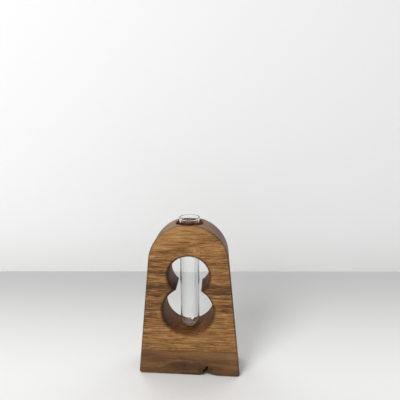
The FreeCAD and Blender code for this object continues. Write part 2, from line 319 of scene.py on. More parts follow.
@dataclass
class ArchBlock:
    """The oak block: dome, leaning sides, the figure-eight window with rolled rims, the bore and the seat.

    The surface is a ring. Columns run once round the window and the outline together, rows run round the
    board's section, and a point lies between the window and the outline by its row's share. A sleeve with
    the bore's wall fills the two places where the bore breaks through the dome and the window's ceiling.

    Args:
        shape: The stand's outline.
        upper_radius: Upper circle of the window.
        upper_height: Height of its centre.
        lower_radius: Lower circle of the window.
        lower_height: Height of its centre.
        lower_offset: Sideways place of its centre.
        roll: Radius rolled onto the window's rims.
        bore_radius: Radius of the bore.
        mouth_easing: Radius sanded on the bore's mouth.
        seat_radius: Radius of the round seat under the tube.
        seat_depth: Depth of the seat in the window's floor.
        lip_wear: How far the thin lips before and behind the bore's mouth are sanded down.
    """

    shape: StandShape
    upper_radius: float = 25.5
    upper_height: float = 140.5
    lower_radius: float = 31.75
    lower_height: float = 93.0
    lower_offset: float = -1.0
    roll: float = 4.5
    bore_radius: float = 16.7
    mouth_easing: float = 1.6
    seat_radius: float = 12.8
    seat_depth: float = 0.8
    lip_wear: float = 1.5

    # Steps of the stretches round the window: right of the waist up over the dome to the left, and back below
    UPPER_STEPS = (24, 40, 36, 40, 24)
    LOWER_STEPS = (40, 64, 40)
    # Where the bore's sleeve begins and ends, as angles on the upper circle and on the dome
    CEILING_ANGLES = (math.radians(45), math.radians(135))
    DOME_ANGLES = (math.radians(67.5), math.radians(112.5))
    # The ends of the floor's stretch, as angles on the lower circle
    FLOOR_ANGLES = (math.radians(225), math.radians(315))
    # Steps of the section across a face, round an edge or rim, and through the board
    FACE_STEPS = 16
    ROUND_STEPS = 12
    SIDE_STEPS = 36
    # Rows of the rounds beside side and wall that the sleeve also takes up, because the bore is that wide
    SLEEVE_ROWS = 5
    # Rings of the sleeve on the dome, round the mouth, down the bore and on the window's ceiling
    DOME_RINGS, MOUTH_RINGS, BORE_RINGS, CEILING_RINGS = 15, 5, 24, 9
    # Edges that turn by more degrees than this stay sharp
    CREASE = 32.0
    # Place of the waist on the sides, as a share of the way from the glue line to the dome
    WAIST_SHARE = 0.66
    # Where the wear of the lips starts and is full along Y, and where it is full and ends along X
    LIP_DEPTH = (11.0, 16.5)
    LIP_WIDTH = (0.0, 17.0)

    def crossings(self, growth: Array) -> tuple[Array, Array]:
        """Where the window's two circles cross, once both radii have grown.

        The foot of their common chord lies on the line of centres, and the chord's half length follows
        from the lower radius.

        Args:
            growth: How far the radii have grown, one value for each row.

        Returns:
            The left and the right crossing, rows by two.
        """
        lower, upper = self.centres()
        apart = upper - lower
        distance = float(np.hypot(*apart))
        along = apart / distance
        across = np.array([along[1], -along[0]])
        low, high = self.lower_radius + growth, self.upper_radius + growth
        foot = (low**2 - high**2 + distance**2) / (2 * distance)
        chord = np.sqrt(low**2 - foot**2)
        middle = lower + foot[:, None] * along
        return middle - chord[:, None] * across, middle + chord[:, None] * across

    def centres(self) -> tuple[Array, Array]:
        """Centres of the lower and the upper circle, as across and up."""
        return np.array([self.lower_offset, self.lower_height]), np.array([0.0, self.upper_height])

    def window(self, growth: Array) -> Array:
        """The figure eight: the outer arcs of two crossing circles, from the right crossing round to it.

        Args:
            growth: How far each row's circles have grown past the window's wall.

        Returns:
            Rows by columns by two.
        """
        lower, upper = self.centres()
        left, right = self.crossings(growth)
        ones = np.ones(len(growth))

        def angle(point: Array, centre: Array) -> Array:
            """The angle at which a centre sees each row's point."""
            return np.arctan2(point[:, 1] - centre[1], point[:, 0] - centre[0])

        ceiling, floor = ([end * ones for end in ends] for ends in (self.CEILING_ANGLES, self.FLOOR_ANGLES))
        above = [angle(right, upper), 0 * ones, *ceiling, math.pi * ones, angle(left, upper) + FULL_TURN]
        below = [angle(left, lower), *floor, angle(right, lower) + FULL_TURN]
        arcs = ((upper, self.upper_radius, above, self.UPPER_STEPS),
                (lower, self.lower_radius, below, self.LOWER_STEPS))
        return np.concatenate([on_circle(centre, radius + growth, through(np.stack(knots, 1), steps))
                               for centre, radius, knots, steps in arcs], axis=1)

    def outline(self, inset: Array) -> Array:
        """The block's outline: side, dome, side and the glue line, each moved in by the inset.

        Args:
            inset: How far each row's outline has moved in. The glue line stays.

        Returns:
            Rows by columns by two, in step with the window's columns.
        """
        shape = self.shape
        radius = shape.dome_radius - inset
        glue = np.full(len(inset), shape.glue_height)
        foot_x = shape.side_at(shape.glue_height, inset)
        touch = on_circle(shape.dome_centre, radius, np.full((len(inset), 1), shape.lean))[:, 0]
        foot = np.stack([foot_x, glue], axis=1)
        waist = foot + (touch - foot) * self.WAIST_SHARE
        mirror = np.array([-1.0, 1.0])
        arcs = np.tile([shape.lean, *self.DOME_ANGLES, math.pi - shape.lean], (len(inset), 1))
        right = through(np.stack([waist, touch], 1), self.UPPER_STEPS[:1])
        dome = on_circle(shape.dome_centre, radius, through(arcs, self.UPPER_STEPS[1:4]))
        down = np.stack([touch * mirror, waist * mirror, foot * mirror, foot, waist], 1)
        rest = through(down, self.UPPER_STEPS[4:] + self.LOWER_STEPS)
        return np.concatenate([right, dome, rest], axis=1)

    def section(self) -> tuple[dict[str, Array], dict[str, int]]:
        """Rows round the board's section: front face, easing, side, easing, rear face, rim, wall and rim.

        Returns:
            For each row its place along Y, its share of the way from window to outline, the window's growth
            and the outline's inset; and the first row of each stretch.
        """
        half, easing, roll = self.shape.half, self.shape.easing, self.roll
        even = np.arange(self.SIDE_STEPS) / self.SIDE_STEPS
        across = (1 - np.cos(np.arange(self.FACE_STEPS) / self.FACE_STEPS * math.pi)) / 2
        inset, depth = quarter_round(easing, self.ROUND_STEPS)
        growth, sunk = quarter_round(roll, self.ROUND_STEPS)
        # The same rounds run backwards, from the side to the face
        inset_back, depth_back, growth_back, sunk_back = (
            np.append(row[1:], end)[::-1]
            for row, end in ((inset, 0), (depth, easing), (growth, 0), (sunk, roll)))
        side, wall = half - easing, half - roll
        stretches = {
            "front": (-half + 0 * across, across, roll, easing),
            "front edge": (depth - half, 1.0, roll, inset),
            "side": (side * (2 * even - 1), 1.0, roll, 0.0),
            "rear edge": (half - depth_back, 1.0, roll, inset_back),
            "rear": (half + 0 * across, 1 - across, roll, easing),
            "rear rim": (half - sunk, 0.0, growth, easing),
            "wall": (wall * (1 - 2 * even), 0.0, 0.0, easing),
            "front rim": (sunk_back - half, 0.0, growth_back, easing),
        }
        rows = {name: np.concatenate([stretch[part] + 0 * stretch[0] for stretch in stretches.values()])
                for part, name in enumerate(("y", "share", "growth", "inset"))}
        first = np.cumsum([0] + [len(stretch[0]) for stretch in stretches.values()])
        return rows, dict(zip(stretches, first.tolist()))

    def sink_seat(self, points: Array) -> Array:
        """Presses the seat into the window's floor: a point inside the seat's ball goes down to its surface.

        Args:
            points: Points of the window's wall.

        Returns:
            The points, with those over the seat lowered.
        """
        floor = self.lower_height - self.lower_radius - self.seat_depth
        centre = floor + self.seat_radius
        inside = np.maximum(self.seat_radius**2 - points[..., 0]**2 - points[..., 1]**2, 0)
        ball = centre - np.sqrt(inside)
        under = (inside > 0) & (points[..., 2] < centre)
        sunk = points.copy()
        sunk[..., 2] = np.where(under, np.minimum(points[..., 2], ball), points[..., 2])
        return sunk

    def wear_lips(self, points: Array) -> Array:
        """Sands down the thin lips before and behind the bore's mouth, most of all in their middle.

        The wear fades out sideways, towards the board's middle, and downward to where the eased edge meets
        the face.

        Args:
            points: Points of the block's surface.

        Returns:
            The points, with those on the lips lowered.
        """
        across, deep, up = points[..., 0], np.abs(points[..., 1]), points[..., 2]
        radius = self.shape.dome_radius
        crown = self.shape.dome_centre[1] + np.sqrt(np.maximum(radius**2 - across**2, 0))
        wear = smooth_step(deep, *self.LIP_DEPTH) * (1 - smooth_step(np.abs(across), *self.LIP_WIDTH))
        wear = wear * smooth_step(up - crown, -self.shape.easing, 0)
        worn = points.copy()
        worn[..., 2] -= self.lip_wear * wear
        return worn

    def sleeve(self, top: Array, ceiling: Array) -> Patch:
        """The dome round the bore's mouth, the mouth's easing, the bore's wall and the ceiling round it.

        Both borders shrink towards the bore's circle along their own rays. On the dome and on the ceiling a
        point is lifted onto the round surface; the mouth is a quarter round; the wall runs straight down.

        Args:
            top: The border of the sleeve on the dome, columns by three.
            ceiling: Its border on the window's ceiling, in step.

        Returns:
            A patch whose first row is the top border and whose last is the ceiling's.
        """
        shape = self.shape

        def turned_in(plan: Array, round_radius: float) -> Array:
            """How far the round beside a face has turned in, at each point's distance from the middle."""
            past = np.maximum(np.abs(plan[..., 1]) - (shape.half - round_radius), 0)
            return round_radius - np.sqrt(round_radius**2 - past**2)

        def on_dome(plan: Array) -> Array:
            """The dome's height over each place."""
            radius = shape.dome_radius - turned_in(plan, shape.easing)
            return shape.dome_centre[1] + np.sqrt(radius**2 - plan[..., 0]**2)

        def on_ceiling(plan: Array) -> Array:
            """The ceiling's height over each place."""
            radius = self.upper_radius + turned_in(plan, self.roll)
            return self.upper_height + np.sqrt(radius**2 - plan[..., 0]**2)

        def lifted(plan: Array, height: Array) -> Array:
            """Points from places and their heights."""
            return np.concatenate([plan, height[..., None]], axis=-1)

        def rays(border: Array) -> Array:
            """Directions from the bore's axis to a border's points."""
            return border[:, :2] / np.linalg.norm(border[:, :2], axis=1, keepdims=True)

        closer = np.sin(np.linspace(0, QUARTER_TURN, self.DOME_RINGS))[:, None, None]
        mouth = self.bore_radius + self.mouth_easing
        plan = top[:, :2] + (rays(top) * mouth - top[:, :2]) * closer
        dome = lifted(plan, on_dome(plan))
        dome[0] = top
        angle = np.linspace(0, QUARTER_TURN, self.MOUTH_RINGS + 1)[1:, None, None]
        plan = rays(top) * (mouth - self.mouth_easing * np.sin(angle))
        rounded = lifted(plan, on_dome(plan) - self.mouth_easing * (1 - np.cos(angle[..., 0])))
        low_plan = rays(ceiling) * self.bore_radius
        low = lifted(low_plan, on_ceiling(low_plan))
        down = np.linspace(0, 1, self.BORE_RINGS + 2)[1:-1, None, None]
        wall = rounded[-1] + (low - rounded[-1]) * down
        wall[..., :2] *= self.bore_radius / np.linalg.norm(wall[..., :2], axis=-1, keepdims=True)
        outward = np.linspace(0, 1, self.CEILING_RINGS)[:, None, None]
        plan = low_plan + (ceiling[:, :2] - low_plan) * outward
        vault = lifted(plan, on_ceiling(plan))
        vault[-1] = ceiling
        stretches = (dome, rounded, wall, vault)
        points = np.concatenate(stretches)

        def along(*ends: tuple[float, float]) -> Array:
            """A trait that runs evenly from one end to the other of each stretch."""
            runs = [np.linspace(*pair, len(stretch)) for pair, stretch in zip(ends, stretches)]
            return np.repeat(np.concatenate(runs)[:, None], points.shape[1], axis=1)

        traits = {"window": along((0, 0), (0, 1), (1, 1), (1, 1)),
                  "bore": along((0, 0), (0, 1), (1, 1), (0, 0)),
                  "side": along((1, 1), (1, 0), (0, 0), (0, 0))}
        return Patch(points, traits, closed_columns=True)

    def build(self) -> bpy.types.Object:
        """Makes the block's mesh.

        Returns:
            The block, with its traits stored: window is 1 on the window's and the bore's wall, bore on the
            bore's wall alone, and side on the sides and the dome.
        """
        rows, first = self.section()
        share = rows["share"][:, None, None]
        flat = self.window(rows["growth"]) * (1 - share) + self.outline(rows["inset"]) * share
        depth = np.broadcast_to(rows["y"][:, None], flat.shape[:2])
        points = np.stack([flat[..., 0], depth, flat[..., 1]], axis=-1)
        straight = slice(first["wall"], first["wall"] + self.SIDE_STEPS + 1)
        points[straight] = self.sink_seat(points[straight])
        starts = [first[name] - self.SLEEVE_ROWS for name in ("side", "wall")]
        side, wall = (slice(start, start + self.SIDE_STEPS + 2 * self.SLEEVE_ROWS + 1) for start in starts)
        left = sum(self.UPPER_STEPS[:2])
        right = left + self.UPPER_STEPS[2]
        columns = slice(left, right + 1)

        def border(block: Array) -> Array:
            """The block's border, front edge first, and round by its last column."""
            return np.concatenate([block[0, :-1], block[:-1, -1], block[-1, :0:-1], block[:0:-1, 0]])

        sleeve = self.sleeve(border(points[side, columns]), border(points[wall, columns][::-1]))
        inside = (1 - rows["share"]) * (1 - rows["growth"] / self.roll)
        outside = (rows["share"] == 1) * (1 - rows["inset"] / self.shape.easing)
        traits = {name: np.repeat(values[:, None], points.shape[1], axis=1)
                  for name, values in (("window", inside), ("bore", 0 * inside), ("side", outside))}
        holes = tuple((slice(band.start, band.stop - 1), slice(left, right)) for band in (side, wall))
        ring = Patch(self.wear_lips(points), traits, closed_rows=True, closed_columns=True, open_blocks=holes)
        sleeve.points = self.wear_lips(sleeve.points)
        block = make_piece("arch_block_oak", [ring, sleeve], self.CREASE)
        note_end_grain(block)
        return block


@dataclass
class BaseStrip:
    """The walnut strip under the block, with the natural void and the bark crack at its lower front edge.

    Columns run round the outline and rows from the front to the rear; the two faces are filled between
    the outline's four sides. Then the front is pressed in where the void and the crack are.

    Args:
        shape: The stand's outline.
        corner: Radius on the lowest corners.
        void_left: Left end of the void's opening on the table.
        void_right: Right end of it.
        void_peak: Height of the opening.
        void_depth: How far it goes in.
        crack_foot: Lower end of the crack, across and up.
        crack_tip: Upper end of it.
        crack_width: Width of the crack at its middle.
        crack_depth: How far it goes in.
    """

    shape: StandShape
    corner: float = 3.4
    void_left: float = 16.8
    void_right: float = 33.4
    void_peak: float = 4.2
    void_depth: float = 11.5
    crack_foot: tuple[float, float] = (19.0, 4.8)
    crack_tip: tuple[float, float] = (25.0, 14.8)
    crack_width: float = 3.9
    crack_depth: float = 7.5

    # Steps along the bottom and the top: coarse, fine over the void, coarse
    ACROSS_STEPS = (36, 104, 20)
    FINE_ZONE = (11.0, 38.0)
    # Steps up a side: the corner's round, fine beside the void, coarse above it
    UP_STEPS = (8, 52, 18)
    FINE_HEIGHT = 18.0
    ROUND_STEPS = 6
    DEEP_STEPS = 44
    CREASE = 50.0

    # The void's roof: its steep left end, its level stretch, how far its fall runs on past the right end, the
    # fall's power, and the height and the wave of its ripple
    ROOF_RISE, ROOF_LEVEL, ROOF_RUN_OUT, ROOF_POWER = 2.8, 5.0, 2.5, 0.8
    ROOF_RIPPLE, ROOF_WAVE = 0.28, 5.3
    # Beside the opening: the least distance to it, and how much of a point's height counts
    BESIDE_GAP, BESIDE_HEIGHT = 0.2, 0.4
    # How far inside their edges the void and the crack begin and are at their full depth
    VOID_EDGE = (-0.35, 1.5)
    CRACK_EDGE = (-0.6, 1.5)
    # The void's back wall: its ripple's share of the depth, and the wave
    BACK_RIPPLE, BACK_WAVE = 0.1, 3.1
    # The wood worn in beside the void: how deep, and how far it reaches
    WEAR_DEPTH, WEAR_REACH = 0.9, 1.9
    # The crack's line: its swing, how fast it swings, and the height of its ripple, which has the roof's wave
    CRACK_SWING, CRACK_TURN, CRACK_RIPPLE = 0.35, 9.0, 0.2
    # The crack's width at its foot, and how much of its width and of its depth is lost at the tip, as shares
    CRACK_FOOT, CRACK_NARROWING, CRACK_RISING = 1.25, 0.6, 0.6
    # Where the pressing ends, as a share of the way from the middle to the rear
    PRESS_END = 0.6

    def corner_centre(self) -> Array:
        """Centre of the right corner's round, which touches the table and the leaning side."""
        across = float(self.shape.side_at(self.corner, np.array(self.corner)))
        return np.array([across, self.corner])

    def outline(self, inset: Array) -> tuple[Array, Array, Array, Array]:
        """The four sides of the strip's outline, each moved in by the inset but for the glue line.

        Args:
            inset: How far each row's outline has moved in.

        Returns:
            Bottom from left to right, right side upward, top from left to right and left side upward. Each is
            rows by columns by two, both ends included.
        """
        shape = self.shape
        centre = self.corner_centre()
        rows = len(inset)
        fine_left, fine_right = (place * np.ones(rows) for place in self.FINE_ZONE)
        end = np.full(rows, centre[0])
        places = np.stack([-end, fine_left, fine_right, end], axis=1)
        across = np.concatenate([through(places, self.ACROSS_STEPS), end[:, None]], axis=1)
        bottom = np.stack([across, np.broadcast_to(inset[:, None], across.shape)], axis=-1)
        angles = np.tile([-QUARTER_TURN, shape.lean], (rows, 1))
        bend = on_circle(centre, self.corner - inset, through(angles, self.UP_STEPS[:1]))
        bend_end = on_circle(centre, self.corner - inset, np.full((rows, 1), shape.lean))[:, 0]
        middle, glue = (np.stack([shape.side_at(height, inset), np.full(rows, height)], axis=1)
                        for height in (self.FINE_HEIGHT, shape.glue_height))
        straight = through(np.stack([bend_end, middle, glue], axis=1), self.UP_STEPS[1:])
        right = np.concatenate([bend, straight, glue[:, None]], axis=1)
        left = right * np.array([-1.0, 1.0])
        top_across = across / centre[0] * glue[:, :1]
        top = np.stack([top_across, np.full(across.shape, shape.glue_height)], axis=-1)
        return bottom, right, top, left

    def fill(self, sides: tuple[Array, Array, Array, Array], depth: float) -> Array:
        """Fills a face between its four sides: the mean of both ways across, less the corners' share.

        Args:
            sides: Bottom, right, top and left, each points by two.
            depth: The face's place along Y.

        Returns:
            Rows upward by columns to the right by three.
        """
        bottom, right, top, left = sides
        width = (bottom[:, 0] - bottom[0, 0]) / (bottom[-1, 0] - bottom[0, 0])
        rise = (right[:, 1] - right[0, 1]) / (right[-1, 1] - right[0, 1])
        s, t = width[None, :, None], rise[:, None, None]
        flat = (1 - t) * bottom + t * top + (1 - s) * left[:, None] + s * right[:, None]
        flat -= (1 - s) * (1 - t) * bottom[0] + s * (1 - t) * bottom[-1]
        flat -= (1 - s) * t * top[0] + s * t * top[-1]
        return np.stack([flat[..., 0], np.full(flat.shape[:2], depth), flat[..., 1]], axis=-1)

    def void(self, across: Array, up: Array) -> Array:
        """How deep the void is under its uneven arch, and how far the wood beside it is worn in.

        The arch rises steeply at its left end and falls gently to its right.

        Args:
            across: Places along X.
            up: Heights.

        Returns:
            Depths in millimetres.
        """
        left, right = self.void_left, self.void_right
        rise = smooth_step(across, left, left + self.ROOF_RISE)
        fall = 1 - smooth_step(across, left + self.ROOF_LEVEL, right + self.ROOF_RUN_OUT)
        uneven = self.ROOF_RIPPLE * ripple(across, up, self.ROOF_WAVE)
        roof = self.void_peak * rise * fall**self.ROOF_POWER + uneven
        aside = np.minimum(np.abs(across - left), np.abs(across - right))
        outside = np.hypot(aside, up * self.BESIDE_HEIGHT) + self.BESIDE_GAP
        into = np.where((across > left) & (across < right), roof - up, -outside)
        back = 1 + self.BACK_RIPPLE * ripple(up, across, self.BACK_WAVE)
        deep = self.void_depth * smooth_step(into, *self.VOID_EDGE) * back
        worn = self.WEAR_DEPTH * np.exp(-np.square(np.minimum(into, 0) / self.WEAR_REACH)) * (into < 0)
        return np.maximum(deep, worn)

    def crack(self, across: Array, up: Array) -> Array:
        """How deep the crack is along its swinging line from foot to tip.

        Its width tapers to both ends like an ellipse, and it gets narrower and shallower towards its tip.

        Args:
            across: Places along X.
            up: Heights.

        Returns:
            Depths in millimetres.
        """
        foot, tip = np.array(self.crack_foot), np.array(self.crack_tip)
        length = float(np.hypot(*(tip - foot)))
        way = (tip - foot) / length
        along = ((across - foot[0]) * way[0] + (up - foot[1]) * way[1]) / length
        aside = (across - foot[0]) * way[1] - (up - foot[1]) * way[0]
        aside = aside + self.CRACK_SWING * np.sin(along * self.CRACK_TURN)
        aside = aside + self.CRACK_RIPPLE * ripple(across, up, self.ROOF_WAVE)
        ellipse = np.sqrt(np.clip(1 - np.square(2 * along - 1), 0, 1))
        taper = ellipse * (self.CRACK_FOOT - self.CRACK_NARROWING * along)
        inside = smooth_step(self.crack_width / 2 * taper - np.abs(aside), *self.CRACK_EDGE)
        return self.crack_depth * (1 - self.CRACK_RISING * along) * inside * (taper > 0)

    def press(self, points: Array) -> Array:
        """Moves points back by the deeper of void and crack.

        The front face and its round move all the way. From there it fades out, and the rear stays as it is.

        Args:
            points: Points of the strip's surface.

        Returns:
            The moved points.
        """
        across, deep, up = (points[..., axis] for axis in range(3))
        half = self.shape.half
        reach = 1 - smooth_step(deep, self.shape.easing - half, half * self.PRESS_END)
        pressed = points.copy()
        pressed[..., 1] += np.maximum(self.void(across, up), self.crack(across, up)) * reach
        return pressed

    def build(self) -> bpy.types.Object:
        """Makes the strip's mesh.

        Returns:
            The strip, with its traits stored: hollow is 1 where the void and the crack are deep.
        """
        half, easing = self.shape.half, self.shape.easing
        inset, depth = quarter_round(easing, self.ROUND_STEPS)
        even = np.arange(self.DEEP_STEPS + 1) / self.DEEP_STEPS
        insets = np.concatenate([inset, np.zeros(len(even)), inset[::-1]])
        places = np.concatenate([depth - half, (half - easing) * (2 * even - 1), half - depth[::-1]])
        sides = self.outline(insets)
        bottom, right, top, left = sides
        loop = np.concatenate([bottom[:, :-1], right[:, :-1], top[:, :0:-1], left[:, :0:-1]], axis=1)
        deep = np.broadcast_to(places[:, None], loop.shape[:2])
        band = np.stack([loop[..., 0], deep, loop[..., 1]], axis=-1)
        front, rear = (self.fill(tuple(side[row] for side in sides), places[row]) for row in (0, -1))
        patches = []
        for points, closed in ((band, True), (front, False), (rear, False)):
            pressed = self.press(points)
            sunk = np.clip((pressed[..., 1] - points[..., 1]) / self.crack_depth, 0, 1)
            patches.append(Patch(pressed, {"hollow": sunk}, closed_columns=closed))
        strip = make_piece("base_strip_walnut", patches, self.CREASE)
        note_end_grain(strip)
        return strip


@dataclass
class TestTube:
    """The glass tube: one closed half section turned about the upright axis.

    Args:
        foot: Height of the round end.
        radius: Outside radius.
        length: Round end to lip.
        wall: Thickness of the glass.
        lip_proud: How far the lip stands outside the tube.
        lip_height: Height of the thickened lip.
    """

    foot: float
    radius: float = 12.5
    length: float = 151.0
    wall: float = 1.2
    lip_proud: float = 0.3
    lip_height: float = 2.4

    COLUMNS = 144
    ROUND_STEPS = 28
    LIP_STEPS = 18
    NECK_STEPS = 6
    CREASE = 60.0

    @classmethod
    def from_frame(cls) -> "TestTube":
        """Takes the tube's foot and length from the frame's box."""
        low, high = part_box("test_tube")
        return cls(foot=low.z * MM_PER_METRE, length=(high.z - low.z) * MM_PER_METRE)

    def profile(self) -> Array:
        """The half section: round end, wall, lip and the same again inside, from axis to axis.

        Returns:
            Points by two, as distance from the axis and height above the foot.
        """
        inner = self.radius - self.wall
        bead = (self.wall + self.lip_proud) / 2
        swing = np.linspace(0, QUARTER_TURN, self.ROUND_STEPS)
        round_out = np.stack([np.sin(swing), -np.cos(swing)], axis=1) * self.radius + [0, self.radius]
        round_in = np.stack([np.cos(swing), -np.sin(swing)], axis=1) * inner + [0, self.radius]
        turn = np.linspace(0, math.pi, self.LIP_STEPS)
        lip_centre = [inner + bead, self.length - bead]
        lip = np.stack([np.cos(turn), np.sin(turn)], axis=1) * bead + lip_centre
        neck = self.length - self.lip_height
        share = np.arange(self.NECK_STEPS) / self.NECK_STEPS
        flare = self.lip_proud * smooth_step(share, 0, 1)
        neck_out = np.stack([self.radius + flare, neck + share * (lip_centre[1] - neck)], axis=1)
        neck_in = np.array([[inner, neck], [inner, neck / 2]])
        wall_out = np.array([[self.radius, neck / 2]])
        profile = np.concatenate([round_out, wall_out, neck_out, lip, neck_in, round_in])
        profile[[0, -1], 0] = 0
        return profile

    def build(self) -> bpy.types.Object:
        """Turns the profile once round the axis.

        Returns:
            The tube.
        """
        profile = self.profile()
        angle = np.arange(self.COLUMNS) / self.COLUMNS * FULL_TURN
        reach = profile[:, None, 0]
        height = np.broadcast_to(profile[:, None, 1] + self.foot, (len(profile), self.COLUMNS))
        points = np.stack([reach * np.cos(angle), reach * np.sin(angle), height], axis=-1)
        return make_piece("test_tube_glass", [Patch(points, closed_columns=True)], self.CREASE)


def shade(red: int, green: int, blue: int) -> Colour:
    """A colour as written on screen, from 0 to 255, as the linear values that shaders take.

    Args:
        red: Its red part.
        green: Its green part.
        blue: Its blue part.

    Returns:
        The same colour by the inverse of the sRGB curve.
    """
    def linear(part: int) -> float:
        """One part by the curve's straight foot, or by its power above that."""
        value = part / 255
        return value / 12.92 if value <= 0.04045 else ((value + 0.055) / 1.055) ** 2.4

    return linear(red), linear(green), linear(blue)


class Graph:
    """The nodes of a material or of the surroundings, with a short call for each kind that they use."""

    # Sockets of a mix node for its share and its two colours, and the one where the mixed colour comes out
    MIX_INPUTS = (0, 6, 7)
    MIX_OUTPUT = 2

    def __init__(self, owner: bpy.types.Material | bpy.types.World) -> None:
        """Starts without a node.

        Args:
            owner: The material or world that the nodes are for.
        """
        self.owner = owner
        owner.use_nodes = True
        self.nodes = owner.node_tree.nodes
        self.nodes.clear()

    def feed(self, socket: Socket, value: object) -> None:
        """Links a socket, or sets the value that it keeps.

        Args:
            socket: The input to feed.
            value: Another node's output, a number, a vector or a colour.
        """
        if isinstance(value, Socket):
            self.owner.node_tree.links.new(value, socket)
        elif socket.type == "RGBA":
            socket.default_value = (*value, 1.0)
        else:
            socket.default_value = value

    def node(self, kind: str, *values: object, **settings: object) -> bpy.types.Node:
        """Adds a node.

        Args:
            kind: The node's type name.
            values: What its inputs get, in order. None leaves an input alone.
            settings: Properties of the node.

        Returns:
            The node.
        """
        made = self.nodes.new(kind)
        for key, setting in settings.items():
            setattr(made, key, setting)
        for socket, value in zip(made.inputs, values):
            if value is not None:
                self.feed(socket, value)
        return made

    def math(self, operation: str, *values: object, clamp: bool = False) -> Socket:
        """A sum, product or other operation on numbers."""
        return self.node("ShaderNodeMath", *values, operation=operation, use_clamp=clamp).outputs[0]

    def vector(self, operation: str, *values: object) -> Socket:
        """An operation on vectors."""
        return self.node("ShaderNodeVectorMath", *values, operation=operation).outputs[0]

    def millimetres(self) -> Socket:
        """The piece's own coordinates, in millimetres."""
        place = self.node("ShaderNodeTexCoord").outputs["Object"]
        return self.vector("MULTIPLY", place, (MM_PER_METRE,) * 3)

    def blended(self, parts: tuple[tuple[Socket, float], ...]) -> Socket:
        """Adds tones around a half, each times its weight, to a tone around a half.

        Args:
            parts: Tones and their weights.

        Returns:
            The sum.
        """
        total: object = 0.5 - 0.5 * sum(weight for _, weight in parts)
        for tone, weight in parts:
            total = self.math("MULTIPLY_ADD", tone, weight, total)
        return total

    def shifted(self, place: Socket, wave: Socket, amount: Triple) -> Socket:
        """Moves a place by a noise vector around a half, times an amount."""
        centred = self.vector("SUBTRACT", wave, (0.5, 0.5, 0.5))
        return self.vector("ADD", place, self.vector("MULTIPLY", centred, amount))

    def band(self, value: Socket, low: float, high: float) -> Socket:
        """Rises smoothly from 0 at low to 1 at high. With low above high it falls."""
        made = self.node("ShaderNodeMapRange", value, low, high, interpolation_type="SMOOTHSTEP")
        return made.outputs[0]

    def mix(self, share: object, first: object, second: object, blend: str = "MIX") -> Socket:
        """Mixes two colours.

        Args:
            share: How much of the second there is.
            first: A colour or an output.
            second: A colour or an output.
            blend: The way in which they mix.

        Returns:
            The mixed colour.
        """
        made = self.node("ShaderNodeMix", data_type="RGBA", blend_type=blend)
        for socket, value in zip(self.MIX_INPUTS, (share, first, second)):
            self.feed(made.inputs[socket], value)
        return made.outputs[self.MIX_OUTPUT]

    def ramp(self, value: Socket, stops: tuple[tuple[float, Colour], ...]) -> Socket:
        """Colours along a scale.

        Args:
            value: A number from 0 to 1.
            stops: Places on the scale and the colour at each.

        Returns:
            The colour at the value.
        """
        made = self.node("ShaderNodeValToRGB", value)
        elements = made.color_ramp.elements
        for index, (place, colour) in enumerate(stops):
            element = elements[index] if index < len(elements) else elements.new(place)
            element.position = place
            element.color = (*colour, 1.0)
        return made.outputs[0]

    def trait(self, name: str) -> Socket:
        """A value that the mesh stores at its points."""
        return self.node("ShaderNodeAttribute", attribute_name=name).outputs["Fac"]

    def surface(self, **inputs: object) -> bpy.types.Material:
        """Ends the graph in the one shader that every finish here uses.

        Args:
            inputs: What its sockets get, by name, with underscores for spaces.

        Returns:
            The material.
        """
        shader = self.node("ShaderNodeBsdfPrincipled")
        for name, value in inputs.items():
            self.feed(shader.inputs[name.replace("_", " ")], value)
        self.node("ShaderNodeOutputMaterial", shader.outputs[0])
        return self.owner


@dataclass(frozen=True)
class Streak:
    """One streak or broad band that stands out in the wood; a few of them are painted shade and a painted
    highlight laid on in the same way.

    Args:
        left: Where it starts.
        right: Where it ends.
        height: Its height above the table.
        thickness: Half its thickness.
        tone: What it does to the colour.
        strength: How strongly.
        sag: How much its middle hangs below its ends.
    """

    left: float
    right: float
    height: float
    thickness: float
    tone: Tone
    strength: float
    sag: float = 0.0

    # Where the soft edge begins and the full strength is reached, in squares of the way from middle to rim
    EDGE = (1.0, 0.1)

    def mask(self, graph: Graph, across: Socket, up: Socket) -> Socket:
        """Where the streak is: a soft ellipse, bent along a parabola.

        Args:
            graph: The finish's nodes.
            across: Place along the grain.
            up: Place across it.

        Returns:
            The strength inside, 0 outside.
        """
        half = (self.right - self.left) / 2
        along = graph.math("DIVIDE", graph.math("SUBTRACT", across, self.left + half), half)
        square = graph.math("MULTIPLY", along, along)
        line = graph.math("MULTIPLY_ADD", square, self.sag, self.height - self.sag)
        beside = graph.math("DIVIDE", graph.math("SUBTRACT", up, line), self.thickness)
        reach = graph.math("ADD", square, graph.math("MULTIPLY", beside, beside))
        return graph.math("MULTIPLY", graph.band(reach, *self.EDGE), self.strength)


def make_streaks(*rows: tuple[float | Tone, ...]) -> tuple[Streak, ...]:
    """Streaks from rows of their values, in the order in which the class names them."""
    return tuple(Streak(*row) for row in rows)


